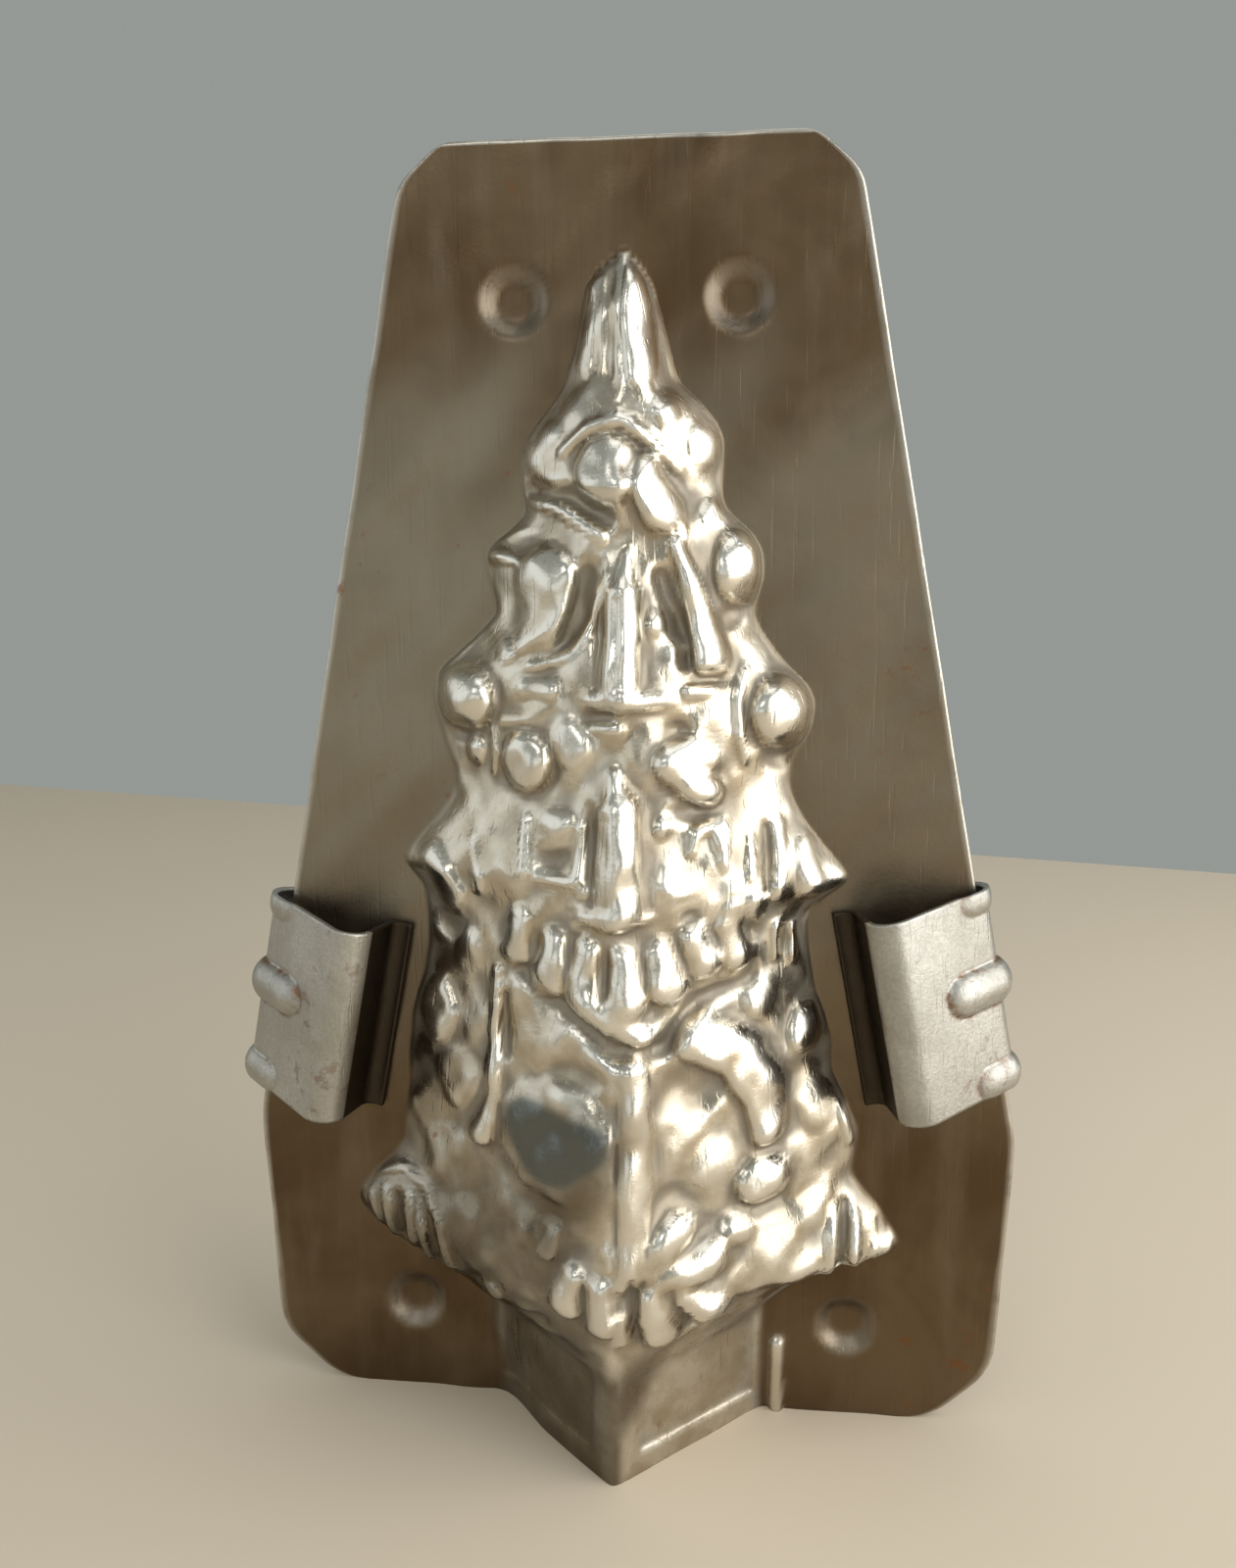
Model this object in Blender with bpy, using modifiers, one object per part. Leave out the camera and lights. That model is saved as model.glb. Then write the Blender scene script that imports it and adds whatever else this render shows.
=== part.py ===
"""Two-half tin chocolate mold: a decorated fir tree on a square foot, held shut by two spring clips.

Blender 4.5, metres, +Z up. The mold stands on its open foot. The front half faces -Y.
Each half is one pressed sheet: a flat flange with half a tree, half a foot and four nesting dimples.
The two flanges lie face to face on the plane Y = 0. Each clip grips both flanges at one side edge.
"""

import math

import bmesh
import bpy
import numpy as np
from mathutils import Matrix, Vector

COLLECTION = "chocolate_mold"
MM = 0.001

# Pressed sheet
SHEET = 0.55 * MM
FLANGE_GAP = 0.30 * MM
STEEPEST_WALL_SHARE = 2.2
FLAT_WITHIN = 0.005 * MM
SHARP_ANGLE = 30.0

# Flange outline, from the top down
PLATE_HEIGHT = 135.0 * MM
TOP_HALF_WIDTH = 18.3 * MM
SHOULDER_HALF_WIDTH = 22.8 * MM
SHOULDER_DROP = 3.8 * MM
WIDEST_HALF_WIDTH = 41.8 * MM
WIDEST_HEIGHT = 33.0 * MM
BASE_INSET = 1.2 * MM
BASE_HALF_WIDTH = WIDEST_HALF_WIDTH - BASE_INSET
CORNER_HEIGHT = 6.0 * MM
CORNER_CUT = 6.5 * MM
TOP_CORNER_ROUND = 2.2 * MM
SIDE_CORNER_ROUND = 0.6 * MM
BASE_CORNER_ROUND = 2.2 * MM
CORNER_STEPS = 4
LONGEST_CUT_SHARE = 0.45

# Foot: a square plinth set corner forwards, open below
FOOT_HALF_WIDTH = 15.8 * MM
FOOT_DEPTH = 15.6 * MM
FOOT_HEIGHT = 12.5 * MM
FOOT_RIDGE_ROUND = 0.8 * MM
SKIRT_RISE = 4.5 * MM

# Tree body
TREE_TOP_DROP = 11.0 * MM
TREE_HEIGHT = PLATE_HEIGHT - TREE_TOP_DROP
TREE_HALF_WIDTH = 31.0 * MM
TREE_DEPTH = 16.4 * MM
TREE_COLUMNS = 28
TREE_ROW_STEP = 2.6 * MM
SIDE_POWER = 0.84
RIM_SHARE = 0.10
RIM_POWER = 8
EDGE_FADE_SHARE = 0.10

# Heights on the tree are shares of its height above the foot.
# Up the tree: height share, then the left and the right edge as shares of TREE_HALF_WIDTH
OUTLINE_SHARES = (
    (0.025, 0.675, 0.600),
    (0.042, 0.765, 0.680),
    (0.057, 0.860, 0.800),
    (0.070, 0.915, 0.955),
    (0.094, 0.990, 0.945),
    (0.112, 0.985, 0.905),
    (0.135, 0.900, 0.835),
    (0.160, 0.830, 0.805),
    (0.190, 0.810, 0.815),
    (0.230, 0.785, 0.760),
    (0.278, 0.775, 0.715),
    (0.327, 0.735, 0.665),
    (0.381, 0.695, 0.628),
    (0.408, 0.700, 0.632),
    (0.426, 0.706, 0.677),
    (0.447, 0.780, 0.755),
    (0.463, 0.769, 0.710),
    (0.490, 0.680, 0.630),
    (0.518, 0.608, 0.565),
    (0.545, 0.593, 0.553),
    (0.575, 0.631, 0.598),
    (0.605, 0.656, 0.627),
    (0.634, 0.646, 0.568),
    (0.655, 0.559, 0.501),
    (0.688, 0.436, 0.428),
    (0.715, 0.453, 0.447),
    (0.738, 0.473, 0.450),
    (0.757, 0.421, 0.423),
    (0.774, 0.350, 0.360),
    (0.792, 0.334, 0.320),
    (0.830, 0.346, 0.319),
    (0.860, 0.286, 0.290),
    (0.885, 0.214, 0.201),
    (0.905, 0.185, 0.159),
    (0.945, 0.149, 0.121),
    (0.975, 0.128, 0.092),
    (1.000, 0.035, 0.035),
)

# Depth up the tree: (height share, share of TREE_DEPTH)
DEPTH_SHARES = (
    (0.000, 0.93),
    (0.030, 1.01),
    (0.067, 1.05),
    (0.121, 1.03),
    (0.193, 0.98),
    (0.291, 0.90),
    (0.336, 0.83),
    (0.426, 0.78),
    (0.498, 0.71),
    (0.587, 0.63),
    (0.632, 0.61),
    (0.695, 0.54),
    (0.753, 0.46),
    (0.785, 0.49),
    (0.839, 0.45),
    (0.865, 0.39),
    (0.901, 0.30),
    (0.964, 0.24),
    (1.000, 0.03),
)

# Section of the tree, from 1, straight sided, to 2, round: (height share, power)
CROWN_SHARES = (
    (0.0, 1.03),
    (0.067, 1.06),
    (0.291, 1.15),
    (0.381, 1.34),
    (0.605, 1.50),
    (0.875, 1.60),
    (1.0, 1.70),
)

# Ornaments pressed in the tree. A place is (share of the width to the edge there, height share),
# and widths, heights and rises are shares of BAUBLE_RADIUS.
BAUBLE_RADIUS = 3.2 * MM

# Round forms: place, half width, half height, rise
BAUBLE_SHARES = (
    (-0.11, 0.813, 1.05, 1.10, 0.88),
    (0.83, 0.731, 0.85, 1.20, 0.72),
    (-0.79, 0.613, 1.12, 1.12, 1.00),
    (0.84, 0.602, 1.06, 1.22, 0.91),
    (-0.49, 0.560, 0.91, 1.00, 0.91),
    (0.60, 0.171, 0.91, 0.91, 0.75),
    (-0.86, 0.309, 0.81, 1.19, 0.50),
    (0.90, 0.304, 0.66, 0.87, 0.50),
)
DISH_SHARES = (
    (0.05, 0.617, 1.38, 0.36, 0.50),
    (-0.01, 0.429, 1.28, 0.36, 0.47),
)
SWELLING_SHARES = (
    (-0.24, 0.220, 2.12, 2.00, 0.47),
    (0.38, 0.562, 1.06, 0.81, 0.53),
    (0.47, 0.130, 0.62, 0.56, 0.31),
)

# Long forms: each is a line of points (place, half width, rise)
CANDLE_SHARES = (
    ((0.04, 0.706, 0.56, 0.66), (0.03, 0.623, 0.62, 0.75)),
    ((0.06, 0.742, 0.16, 0.25), (0.05, 0.715, 0.37, 0.47)),
    ((0.03, 0.521, 0.66, 0.72), (0.02, 0.438, 0.73, 0.81)),
    ((-0.01, 0.553, 0.16, 0.22), (0.02, 0.532, 0.44, 0.47)),
    (
        (0.10, 0.305, 0.37, 0.28),
        (0.11, 0.247, 0.53, 0.44),
        (0.09, 0.166, 0.56, 0.47),
        (0.08, 0.112, 0.50, 0.47),
    ),
)
HEART_SHARES = (((-0.62, 0.708, 1.55, 0.60), (-0.49, 0.666, 0.80, 0.47)),)
PEAR_SHARES = (((0.23, 0.812, 0.59, 0.69), (0.40, 0.778, 0.69, 0.72)),)
HORN_SHARES = (
    (
        (0.41, 0.751, 0.19, 0.31),
        (0.52, 0.713, 0.28, 0.44),
        (0.62, 0.682, 0.37, 0.56),
        (0.56, 0.646, 0.53, 0.69),
    ),
)
LEAF_SHARES = (((0.32, 0.561, 0.62, 0.62), (0.51, 0.535, 0.56, 0.72)),)
GARLAND_SHARES = (
    ((-0.47, 0.417, 0.31, 0.31), (-0.47, 0.390, 0.41, 0.44)),
    ((-0.29, 0.403, 0.37, 0.37), (-0.32, 0.367, 0.50, 0.53)),
    ((-0.13, 0.397, 0.37, 0.41), (-0.13, 0.358, 0.50, 0.59)),
    ((0.04, 0.390, 0.37, 0.41), (0.06, 0.352, 0.50, 0.59)),
    ((0.23, 0.392, 0.41, 0.41), (0.24, 0.365, 0.56, 0.59)),
    ((0.38, 0.404, 0.37, 0.37), (0.42, 0.385, 0.47, 0.47)),
    ((0.55, 0.408, 0.37, 0.34), (0.59, 0.379, 0.50, 0.47)),
    ((-0.16, 0.354, 0.47, 0.47), (-0.03, 0.340, 0.47, 0.53)),
    ((0.00, 0.349, 0.53, 0.53), (0.13, 0.322, 0.44, 0.56)),
)
BOUGH_SHARES = (
    (
        (-0.58, 0.365, 0.16, 0.28),
        (-0.55, 0.300, 0.19, 0.34),
        (-0.54, 0.247, 0.28, 0.44),
        (-0.58, 0.207, 0.47, 0.53),
    ),
    (
        (0.39, 0.315, 0.81, 0.56),
        (0.57, 0.293, 0.84, 0.69),
        (0.67, 0.256, 0.78, 0.72),
        (0.64, 0.222, 0.62, 0.62),
    ),
)
PETAL_SHARES = (
    ((0.14, 0.116, 0.37, 0.44), (0.26, 0.143, 0.50, 0.53)),
    ((0.18, 0.103, 0.41, 0.50), (0.34, 0.109, 0.53, 0.59)),
    ((0.15, 0.089, 0.37, 0.50), (0.26, 0.046, 0.53, 0.69)),
    ((0.22, 0.087, 0.37, 0.50), (0.39, 0.053, 0.56, 0.69)),
    ((-0.12, 0.100, 0.31, 0.41), (-0.14, 0.073, 0.41, 0.50)),
    ((-0.05, 0.092, 0.31, 0.37), (-0.05, 0.067, 0.41, 0.47)),
)

# Hollows in the body: place, half width, half height, depth
HOLLOW_SHARES = (
    (-0.08, 0.824, 1.56, 1.00, 0.47),
    (0.43, 0.803, 0.81, 0.94, 0.28),
    (-0.74, 0.752, 0.87, 0.41, 0.31),
    (0.43, 0.517, 1.06, 0.50, 0.37),
    (-0.49, 0.555, 1.31, 1.38, 0.28),
    (-0.28, 0.477, 0.78, 0.59, 0.31),
    (0.32, 0.270, 1.44, 1.12, 0.34),
)
# Creases: lines of points (place, half width, depth)
CREASE_SHARES = (
    ((0.28, 0.724, 0.37, 0.34), (0.42, 0.686, 0.47, 0.53), (0.43, 0.647, 0.44, 0.50)),
    (
        (-0.44, 0.369, 0.41, 0.28),
        (-0.25, 0.343, 0.44, 0.37),
        (0.01, 0.309, 0.44, 0.41),
        (0.23, 0.309, 0.44, 0.44),
    ),
)

# Nesting dimples in the flange
DIMPLE_RADIUS = 3.7 * MM
DIMPLE_FLAT_RADIUS = 2.2 * MM
DIMPLE_DEPTH = 1.1 * MM
DIMPLE_SIDES = 12
TOP_DIMPLE_HALF_SPACING = 11.2 * MM
TOP_DIMPLE_DROP = 15.0 * MM
TOP_DIMPLE_HEIGHT = PLATE_HEIGHT - TOP_DIMPLE_DROP
BASE_DIMPLE_HALF_SPACING = 24.5 * MM
BASE_DIMPLE_HEIGHT = 10.6 * MM

# Spring clips: a fold outside the flange's edge, and two leaves that rise, roll back and end in a lip
CLIP_SHEET = 0.60 * MM
CLIP_LENGTH = 21.4 * MM
CLIP_DEPTH = 8.6 * MM
CLIP_PLAY = 0.30 * MM
FOLD_RADIUS = 1.8 * MM
ROLL_RADIUS = 2.2 * MM
HEEL_RADIUS = 1.6 * MM
LIP_RADIUS = 2.5 * MM
LEAF_ANGLE = 38.0
RETURN_ANGLE = 12.0
LIP_ANGLE = 20.0
FOLD_STEPS = 4
LEAF_STEPS = 3
ROLL_STEPS = 5
HEEL_STEPS = 3
LIP_STEPS = 2
LEFT_CLIP_HEIGHT = 47.9 * MM
RIGHT_CLIP_HEIGHT = 50.6 * MM
# The left clip isn't pushed fully home
LEFT_CLIP_STANDOFF = 1.0 * MM

# Stiffening beads pressed round the fold: (place as a share of half the clip's length, share of BEAD_RISE)
BEAD_HALF_LENGTH = 1.7 * MM
BEAD_RISE = 1.1 * MM
BEAD_REACH = 6.0 * MM
BEAD_STEPS = 2
BEAD_SHARES = ((-0.86, 0.65), (0.07, 1.0), (0.92, 0.45))

TIN_COLOUR = (0.36, 0.32, 0.26, 1.0)
TIN_ROUGHNESS = 0.42
CLIP_COLOUR = (0.42, 0.41, 0.39, 1.0)
CLIP_ROUGHNESS = 0.48

HALF_GAP = FLANGE_GAP / 2.0
FLANGE_HALF_THICKNESS = HALF_GAP + SHEET


def smooth_step(value, low, high):
    """0 below low, 1 above high, with a smooth rise between."""
    share = np.clip((value - low) / (high - low), 0.0, 1.0)
    return share * share * (3.0 - 2.0 * share)


def height_on_tree(share):
    """Height of a place on the tree from its height share."""
    return FOOT_HEIGHT + share * (TREE_HEIGHT - FOOT_HEIGHT)


def tree_edge(x, z):
    """Distance from the middle to the raised form's edge at height z, on the side where x is."""
    heights = [0.0, FOOT_HEIGHT] + [height_on_tree(row[0]) for row in OUTLINE_SHARES]
    left = [FOOT_HALF_WIDTH] * 2 + [row[1] * TREE_HALF_WIDTH for row in OUTLINE_SHARES]
    right = [FOOT_HALF_WIDTH] * 2 + [row[2] * TREE_HALF_WIDTH for row in OUTLINE_SHARES]
    return np.where(x < 0.0, np.interp(z, heights, left), np.interp(z, heights, right))


def tree_depth(z):
    """Depth of the raised form on its centre line at height z."""
    heights = [0.0, FOOT_HEIGHT] + [height_on_tree(share) for share, _ in DEPTH_SHARES]
    depths = [FOOT_DEPTH] * 2 + [share * TREE_DEPTH for _, share in DEPTH_SHARES]
    return np.interp(z, heights, depths)


def crown_power(z):
    """How round the tree's section is at height z."""
    heights = [height_on_tree(share) for share, _ in CROWN_SHARES]
    return np.interp(z, heights, [power for _, power in CROWN_SHARES])


def spot(side, height):
    """Point (x, z) of a place on the tree."""
    z = height_on_tree(height)
    return side * float(tree_edge(side, z)), z


def dome(x, z, shares):
    """Half an ellipsoid."""
    side, height, wide, tall, rise = shares
    centre_x, centre_z = spot(side, height)
    across, upright = (x - centre_x) / (wide * BAUBLE_RADIUS), (z - centre_z) / (tall * BAUBLE_RADIUS)
    return rise * BAUBLE_RADIUS * np.sqrt(np.clip(1.0 - across**2 - upright**2, 0.0, None))


def ridge(x, z, shares):
    """A rounded ridge along a line of places, with its own half width and rise at each."""
    found = np.zeros_like(x)
    for (*start, wide, rise), (*end, end_wide, end_rise) in zip(shares, shares[1:]):
        start_x, start_z = spot(*start)
        end_x, end_z = spot(*end)
        run_x, run_z = end_x - start_x, end_z - start_z
        along = np.clip(((x - start_x) * run_x + (z - start_z) * run_z) / (run_x**2 + run_z**2), 0.0, 1.0)
        away = np.hypot(x - start_x - along * run_x, z - start_z - along * run_z)
        half_width = BAUBLE_RADIUS * (wide + (end_wide - wide) * along)
        height = BAUBLE_RADIUS * (rise + (end_rise - rise) * along)
        found = np.maximum(found, height * np.sqrt(np.clip(1.0 - (away / half_width) ** 2, 0.0, None)))
    return found


def highest(x, z, domes, ridges):
    """The highest of several domes and ridges."""
    found = np.zeros_like(x)
    for shares in domes:
        found = np.maximum(found, dome(x, z, shares))
    for shares in ridges:
        found = np.maximum(found, ridge(x, z, shares))
    return found


def ornaments(x, z):
    """Height of what hangs on the tree above the body's own surface, less the hollows between."""
    domes = BAUBLE_SHARES + DISH_SHARES + SWELLING_SHARES
    upper = CANDLE_SHARES + HEART_SHARES + PEAR_SHARES + HORN_SHARES + LEAF_SHARES
    lower = GARLAND_SHARES + BOUGH_SHARES + PETAL_SHARES
    return highest(x, z, domes, upper + lower) - highest(x, z, HOLLOW_SHARES, CREASE_SHARES)


def relief(x, z):
    """Depth of the cavity at (x, z), from the flange's inner face: foot, tree and ornaments."""
    side = np.clip(np.abs(x) / tree_edge(x, z), 0.0, 1.0)
    edge_round = FOOT_RIDGE_ROUND / FOOT_HALF_WIDTH
    fall = (np.sqrt(side**2 + edge_round**2) - edge_round) / (math.sqrt(1.0 + edge_round**2) - edge_round)
    foot = 1.0 - fall
    rim = np.sqrt(1.0 - side**RIM_POWER)
    tree = (1.0 - RIM_SHARE) * (1.0 - side ** crown_power(z)) ** SIDE_POWER + RIM_SHARE * rim
    on_tree = smooth_step(z, FOOT_HEIGHT, FOOT_HEIGHT + SKIRT_RISE)
    body = tree_depth(z) * ((1.0 - on_tree) * foot + on_tree * tree)
    fade = np.clip((1.0 - side) / EDGE_FADE_SHARE, 0.0, 1.0)
    return body + on_tree * fade * ornaments(x, z)


def wall_depth(x, z):
    """Wall measured along Y, which grows with the slope so that the sheet keeps its thickness."""
    reach = SHEET
    slope_x = (relief(x + reach, z) - relief(x - reach, z)) / (2.0 * reach)
    slope_z = (relief(x, z + reach) - relief(x, z - reach)) / (2.0 * reach)
    return SHEET * np.clip(np.sqrt(1.0 + slope_x**2 + slope_z**2), 1.0, STEEPEST_WALL_SHARE)


def rounded(corners):
    """Outline through corners (x, z, size of the round), each corner drawn as a short curve."""
    points = []
    for number, (x, z, size) in enumerate(corners):
        here = Vector((x, z))
        before = Vector(corners[number - 1][:2]) - here
        after = Vector(corners[(number + 1) % len(corners)][:2]) - here
        most = LONGEST_CUT_SHARE * min(before.length, after.length)
        cut = min(size / math.tan(before.angle(after) / 2.0), most)
        start = here + before.normalized() * cut
        end = here + after.normalized() * cut
        for step in range(CORNER_STEPS + 1):
            share = step / CORNER_STEPS
            points.append(start.lerp(here, share).lerp(here.lerp(end, share), share))
    return points


def flange_outline():
    """Edge of the flange from the foot's right side round the top to its left side."""
    right = [
        (BASE_HALF_WIDTH - CORNER_CUT, 0.0, BASE_CORNER_ROUND),
        (BASE_HALF_WIDTH, CORNER_HEIGHT, BASE_CORNER_ROUND),
        (WIDEST_HALF_WIDTH, WIDEST_HEIGHT, SIDE_CORNER_ROUND),
        (SHOULDER_HALF_WIDTH, PLATE_HEIGHT - SHOULDER_DROP, TOP_CORNER_ROUND),
        (TOP_HALF_WIDTH, PLATE_HEIGHT, TOP_CORNER_ROUND),
    ]
    left = [(-x, z, size) for x, z, size in reversed(right)]
    return rounded(right + left)


def bent_grid(mesh, points):
    """Adds a grid of quads through rows of points, and returns its vertices in the same rows."""
    rows, columns = len(points) - 1, len(points[0]) - 1
    made = bmesh.ops.create_grid(mesh, x_segments=columns, y_segments=rows, size=1.0)["verts"]
    placed = [[None] * (columns + 1) for _ in range(rows + 1)]
    for vert in made:
        column = round((vert.co.x + 1.0) / 2.0 * columns)
        row = round((vert.co.y + 1.0) / 2.0 * rows)
        vert.co = points[row][column]
        placed[row][column] = vert
    return placed


def tree_row_heights():
    """Heights of the tree's rows: every height of its outline, and even steps between."""
    heights = [0.0, FOOT_HEIGHT / 2.0]
    levels = [FOOT_HEIGHT] + [height_on_tree(row[0]) for row in OUTLINE_SHARES]
    for low, high in zip(levels, levels[1:]):
        steps = math.ceil((high - low) / TREE_ROW_STEP)
        heights += [low + (high - low) * step / steps for step in range(steps)]
    return heights + levels[-1:]


def add_tree(mesh):
    """Adds the foot and the tree as a grid whose columns follow their outline."""
    points = []
    for z in tree_row_heights():
        columns = np.linspace(-1.0, 1.0, TREE_COLUMNS + 1)
        columns = columns * tree_edge(columns, z)
        depths = relief(columns, np.full_like(columns, z))
        points.append([(x, depth if z < TREE_HEIGHT else 0.0, z) for x, depth in zip(columns, depths)])
    return bent_grid(mesh, points)


def add_dimple(mesh, x, z, depth):
    """Adds a round dimple with a flat floor."""
    turn = Matrix.Rotation(-math.pi / 2.0, 4, "X")
    made = bmesh.ops.create_cone(
        mesh,
        cap_ends=False,
        segments=DIMPLE_SIDES,
        radius1=DIMPLE_RADIUS,
        radius2=DIMPLE_FLAT_RADIUS,
        depth=DIMPLE_DEPTH,
        matrix=Matrix.Translation((x, 0.0, z)) @ turn,
    )["verts"]
    between = (DIMPLE_RADIUS + DIMPLE_FLAT_RADIUS) / 2.0
    floor = {vert for vert in made if math.hypot(vert.co.x - x, vert.co.z - z) < between}
    for vert in made:
        vert.co.y = depth if vert in floor else 0.0
    ring = {edge for vert in floor for edge in vert.link_edges if floor.issuperset(edge.verts)}
    bmesh.ops.contextual_create(mesh, geom=list(ring))


def add_flange(mesh, tree_rows):
    """Adds the flat sheet between the flange's edge, the tree's sides and the dimples."""
    outline = [mesh.verts.new((point.x, 0.0, point.y)) for point in flange_outline()]
    chain = [tree_rows[0][-1], *outline, tree_rows[0][0]]
    for first, second in zip(chain, chain[1:]):
        mesh.edges.new((first, second))
    open_edges = [edge for edge in mesh.edges if not edge.is_manifold]
    flat = [edge for edge in open_edges if all(abs(vert.co.y) < FLAT_WITHIN for vert in edge.verts)]
    bmesh.ops.triangle_fill(mesh, use_beauty=True, edges=flat, normal=(0.0, -1.0, 0.0))


def thicken(mesh):
    """Gives the open sheet its wall, outwards from the cavity, with every edge left in its own plane."""
    bmesh.ops.recalc_face_normals(mesh, faces=mesh.faces)
    outside = bmesh.ops.extrude_face_region(mesh, geom=mesh.faces[:])["geom"]
    outside = [item for item in outside if isinstance(item, bmesh.types.BMVert)]
    x, y, z = np.array([vert.co for vert in outside]).T
    on_wall = (y > FLAT_WITHIN) & (np.abs(x) < tree_edge(x, z))
    for vert, wall in zip(outside, np.where(on_wall, wall_depth(x, z), SHEET)):
        vert.co.y += wall


def make_half(name, facing):
    """Builds one pressed half. facing is -1 for the front and 1 for the back."""
    mesh = bmesh.new()
    tree_rows = add_tree(mesh)
    for side in (-1, 1):
        add_dimple(mesh, side * TOP_DIMPLE_HALF_SPACING, TOP_DIMPLE_HEIGHT, facing * DIMPLE_DEPTH)
        add_dimple(mesh, side * BASE_DIMPLE_HALF_SPACING, BASE_DIMPLE_HEIGHT, facing * DIMPLE_DEPTH)
    add_flange(mesh, tree_rows)
    thicken(mesh)
    for vert in mesh.verts:
        vert.co.y = facing * (HALF_GAP + vert.co.y)
    bmesh.ops.recalc_face_normals(mesh, faces=mesh.faces)
    return new_object(name, mesh)


def arc(centre, radius, start, end, steps):
    """Points along an arc between two angles in radians."""
    turns = [start + (end - start) * step / steps for step in range(steps + 1)]
    return [Vector(centre) + radius * Vector((math.cos(turn), math.sin(turn))) for turn in turns]


def clip_profile():
    """Middle line of one leaf, from the fold to the lip, as points (run inwards, depth)."""
    quarter = math.pi / 2.0
    leaf, back, flare = (math.radians(angle) for angle in (LEAF_ANGLE, RETURN_ANGLE, LIP_ANGLE))
    grip = FLANGE_HALF_THICKNESS + CLIP_PLAY + CLIP_SHEET / 2.0
    fold = arc((FOLD_RADIUS, 0.0), FOLD_RADIUS, 2.0 * quarter, quarter + leaf, FOLD_STEPS)
    roll_depth = CLIP_DEPTH - CLIP_SHEET / 2.0 - ROLL_RADIUS
    leaf_top = roll_depth + ROLL_RADIUS * math.cos(leaf)
    roll_run = fold[-1].x + (leaf_top - fold[-1].y) / math.tan(leaf) + ROLL_RADIUS * math.sin(leaf)
    roll = arc((roll_run, roll_depth), ROLL_RADIUS, quarter + leaf, back, ROLL_STEPS)
    heel_depth = grip + HEEL_RADIUS
    heel_top = heel_depth - HEEL_RADIUS * math.sin(back)
    heel_run = roll[-1].x + (roll[-1].y - heel_top) * math.tan(back) + HEEL_RADIUS * math.cos(back)
    heel = arc((heel_run, heel_depth), HEEL_RADIUS, 2.0 * quarter + back, 3.0 * quarter, HEEL_STEPS)
    lip = arc((heel_run, grip + LIP_RADIUS), LIP_RADIUS, -quarter, -quarter + flare, LIP_STEPS)
    between = [fold[-1].lerp(roll[0], step / LEAF_STEPS) for step in range(1, LEAF_STEPS)]
    return fold + between + roll + heel + lip[1:]


def bead_swell(run, along):
    """How far a bead lifts the sheet at a place on the clip."""
    found = 0.0
    for place, rise in BEAD_SHARES:
        away = abs(along - place * CLIP_LENGTH / 2.0) / BEAD_HALF_LENGTH
        found = max(found, rise * math.cos(min(away, 1.0) * math.pi / 2.0) ** 2)
    return BEAD_RISE * found * math.sqrt(max(0.0, 1.0 - run / BEAD_REACH))


def clip_stations():
    """Places along the clip: its ends, and the sides and crown of each bead."""
    half = CLIP_LENGTH / 2.0
    inside = half - BEAD_HALF_LENGTH / (2.0 * BEAD_STEPS)
    steps = [BEAD_HALF_LENGTH * step / BEAD_STEPS for step in range(-BEAD_STEPS, BEAD_STEPS + 1)]
    places = [share * half + step for share, _ in BEAD_SHARES for step in steps]
    return [-half, *sorted(along for along in places if abs(along) < inside), half]


def edge_lean():
    """Angle of the flange's side edge from upright."""
    rise = PLATE_HEIGHT - SHOULDER_DROP - WIDEST_HEIGHT
    return math.atan2(WIDEST_HALF_WIDTH - SHOULDER_HALF_WIDTH, rise)


def seat_run():
    """Run from the outside of the fold to the flange's edge, which stops one play short of the fold."""
    inner = FOLD_RADIUS - CLIP_SHEET / 2.0
    return FOLD_RADIUS - math.sqrt(inner**2 - FLANGE_HALF_THICKNESS**2) + CLIP_PLAY


def make_clip(name, side, height, standoff):
    """Builds one spring clip on its edge of the flange. side is -1 for the left and 1 for the right."""
    leaf = clip_profile()
    section = [Vector((point.x, -point.y)) for point in reversed(leaf[1:])] + leaf
    lean = edge_lean()
    inward = Vector((-side * math.cos(lean), 0.0, -math.sin(lean)))
    upward = Vector((-side * math.sin(lean), 0.0, math.cos(lean)))
    points = []
    for along in clip_stations():
        row = []
        for number, point in enumerate(section):
            ends = section[max(number - 1, 0)], section[min(number + 1, len(section) - 1)]
            tangent = (ends[1] - ends[0]).normalized()
            lifted = point + Vector((-tangent.y, tangent.x)) * bead_swell(point.x, along)
            row.append(inward * lifted.x + Vector((0.0, lifted.y, 0.0)) + upward * along)
        points.append(row)
    mesh = bmesh.new()
    bent_grid(mesh, points)
    clip = new_object(name, mesh)
    edge = WIDEST_HALF_WIDTH - (height - WIDEST_HEIGHT) * math.tan(lean)
    clip.location = Vector((side * edge, 0.0, height)) - inward * (seat_run() + standoff)
    sheet = clip.modifiers.new("Sheet", "SOLIDIFY")
    sheet.thickness = CLIP_SHEET
    sheet.offset = 0.0
    sheet.use_even_offset = True
    return clip


def new_object(name, mesh):
    """Links a bmesh as a named object, smooth except at its sharp edges."""
    data = bpy.data.meshes.new(name)
    mesh.to_mesh(data)
    mesh.free()
    data.shade_smooth()
    data.set_sharp_from_angle(angle=math.radians(SHARP_ANGLE))
    made = bpy.data.objects.new(name, data)
    bpy.data.collections[COLLECTION].objects.link(made)
    return made


def give_metal(made, colour, roughness):
    """Gives an object its own metal."""
    material = bpy.data.materials.new(made.name + "_metal")
    material.use_nodes = True
    shader = material.node_tree.nodes["Principled BSDF"]
    shader.inputs["Base Color"].default_value = colour
    shader.inputs["Roughness"].default_value = roughness
    shader.inputs["Metallic"].default_value = 1.0
    made.data.materials.append(material)


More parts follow.
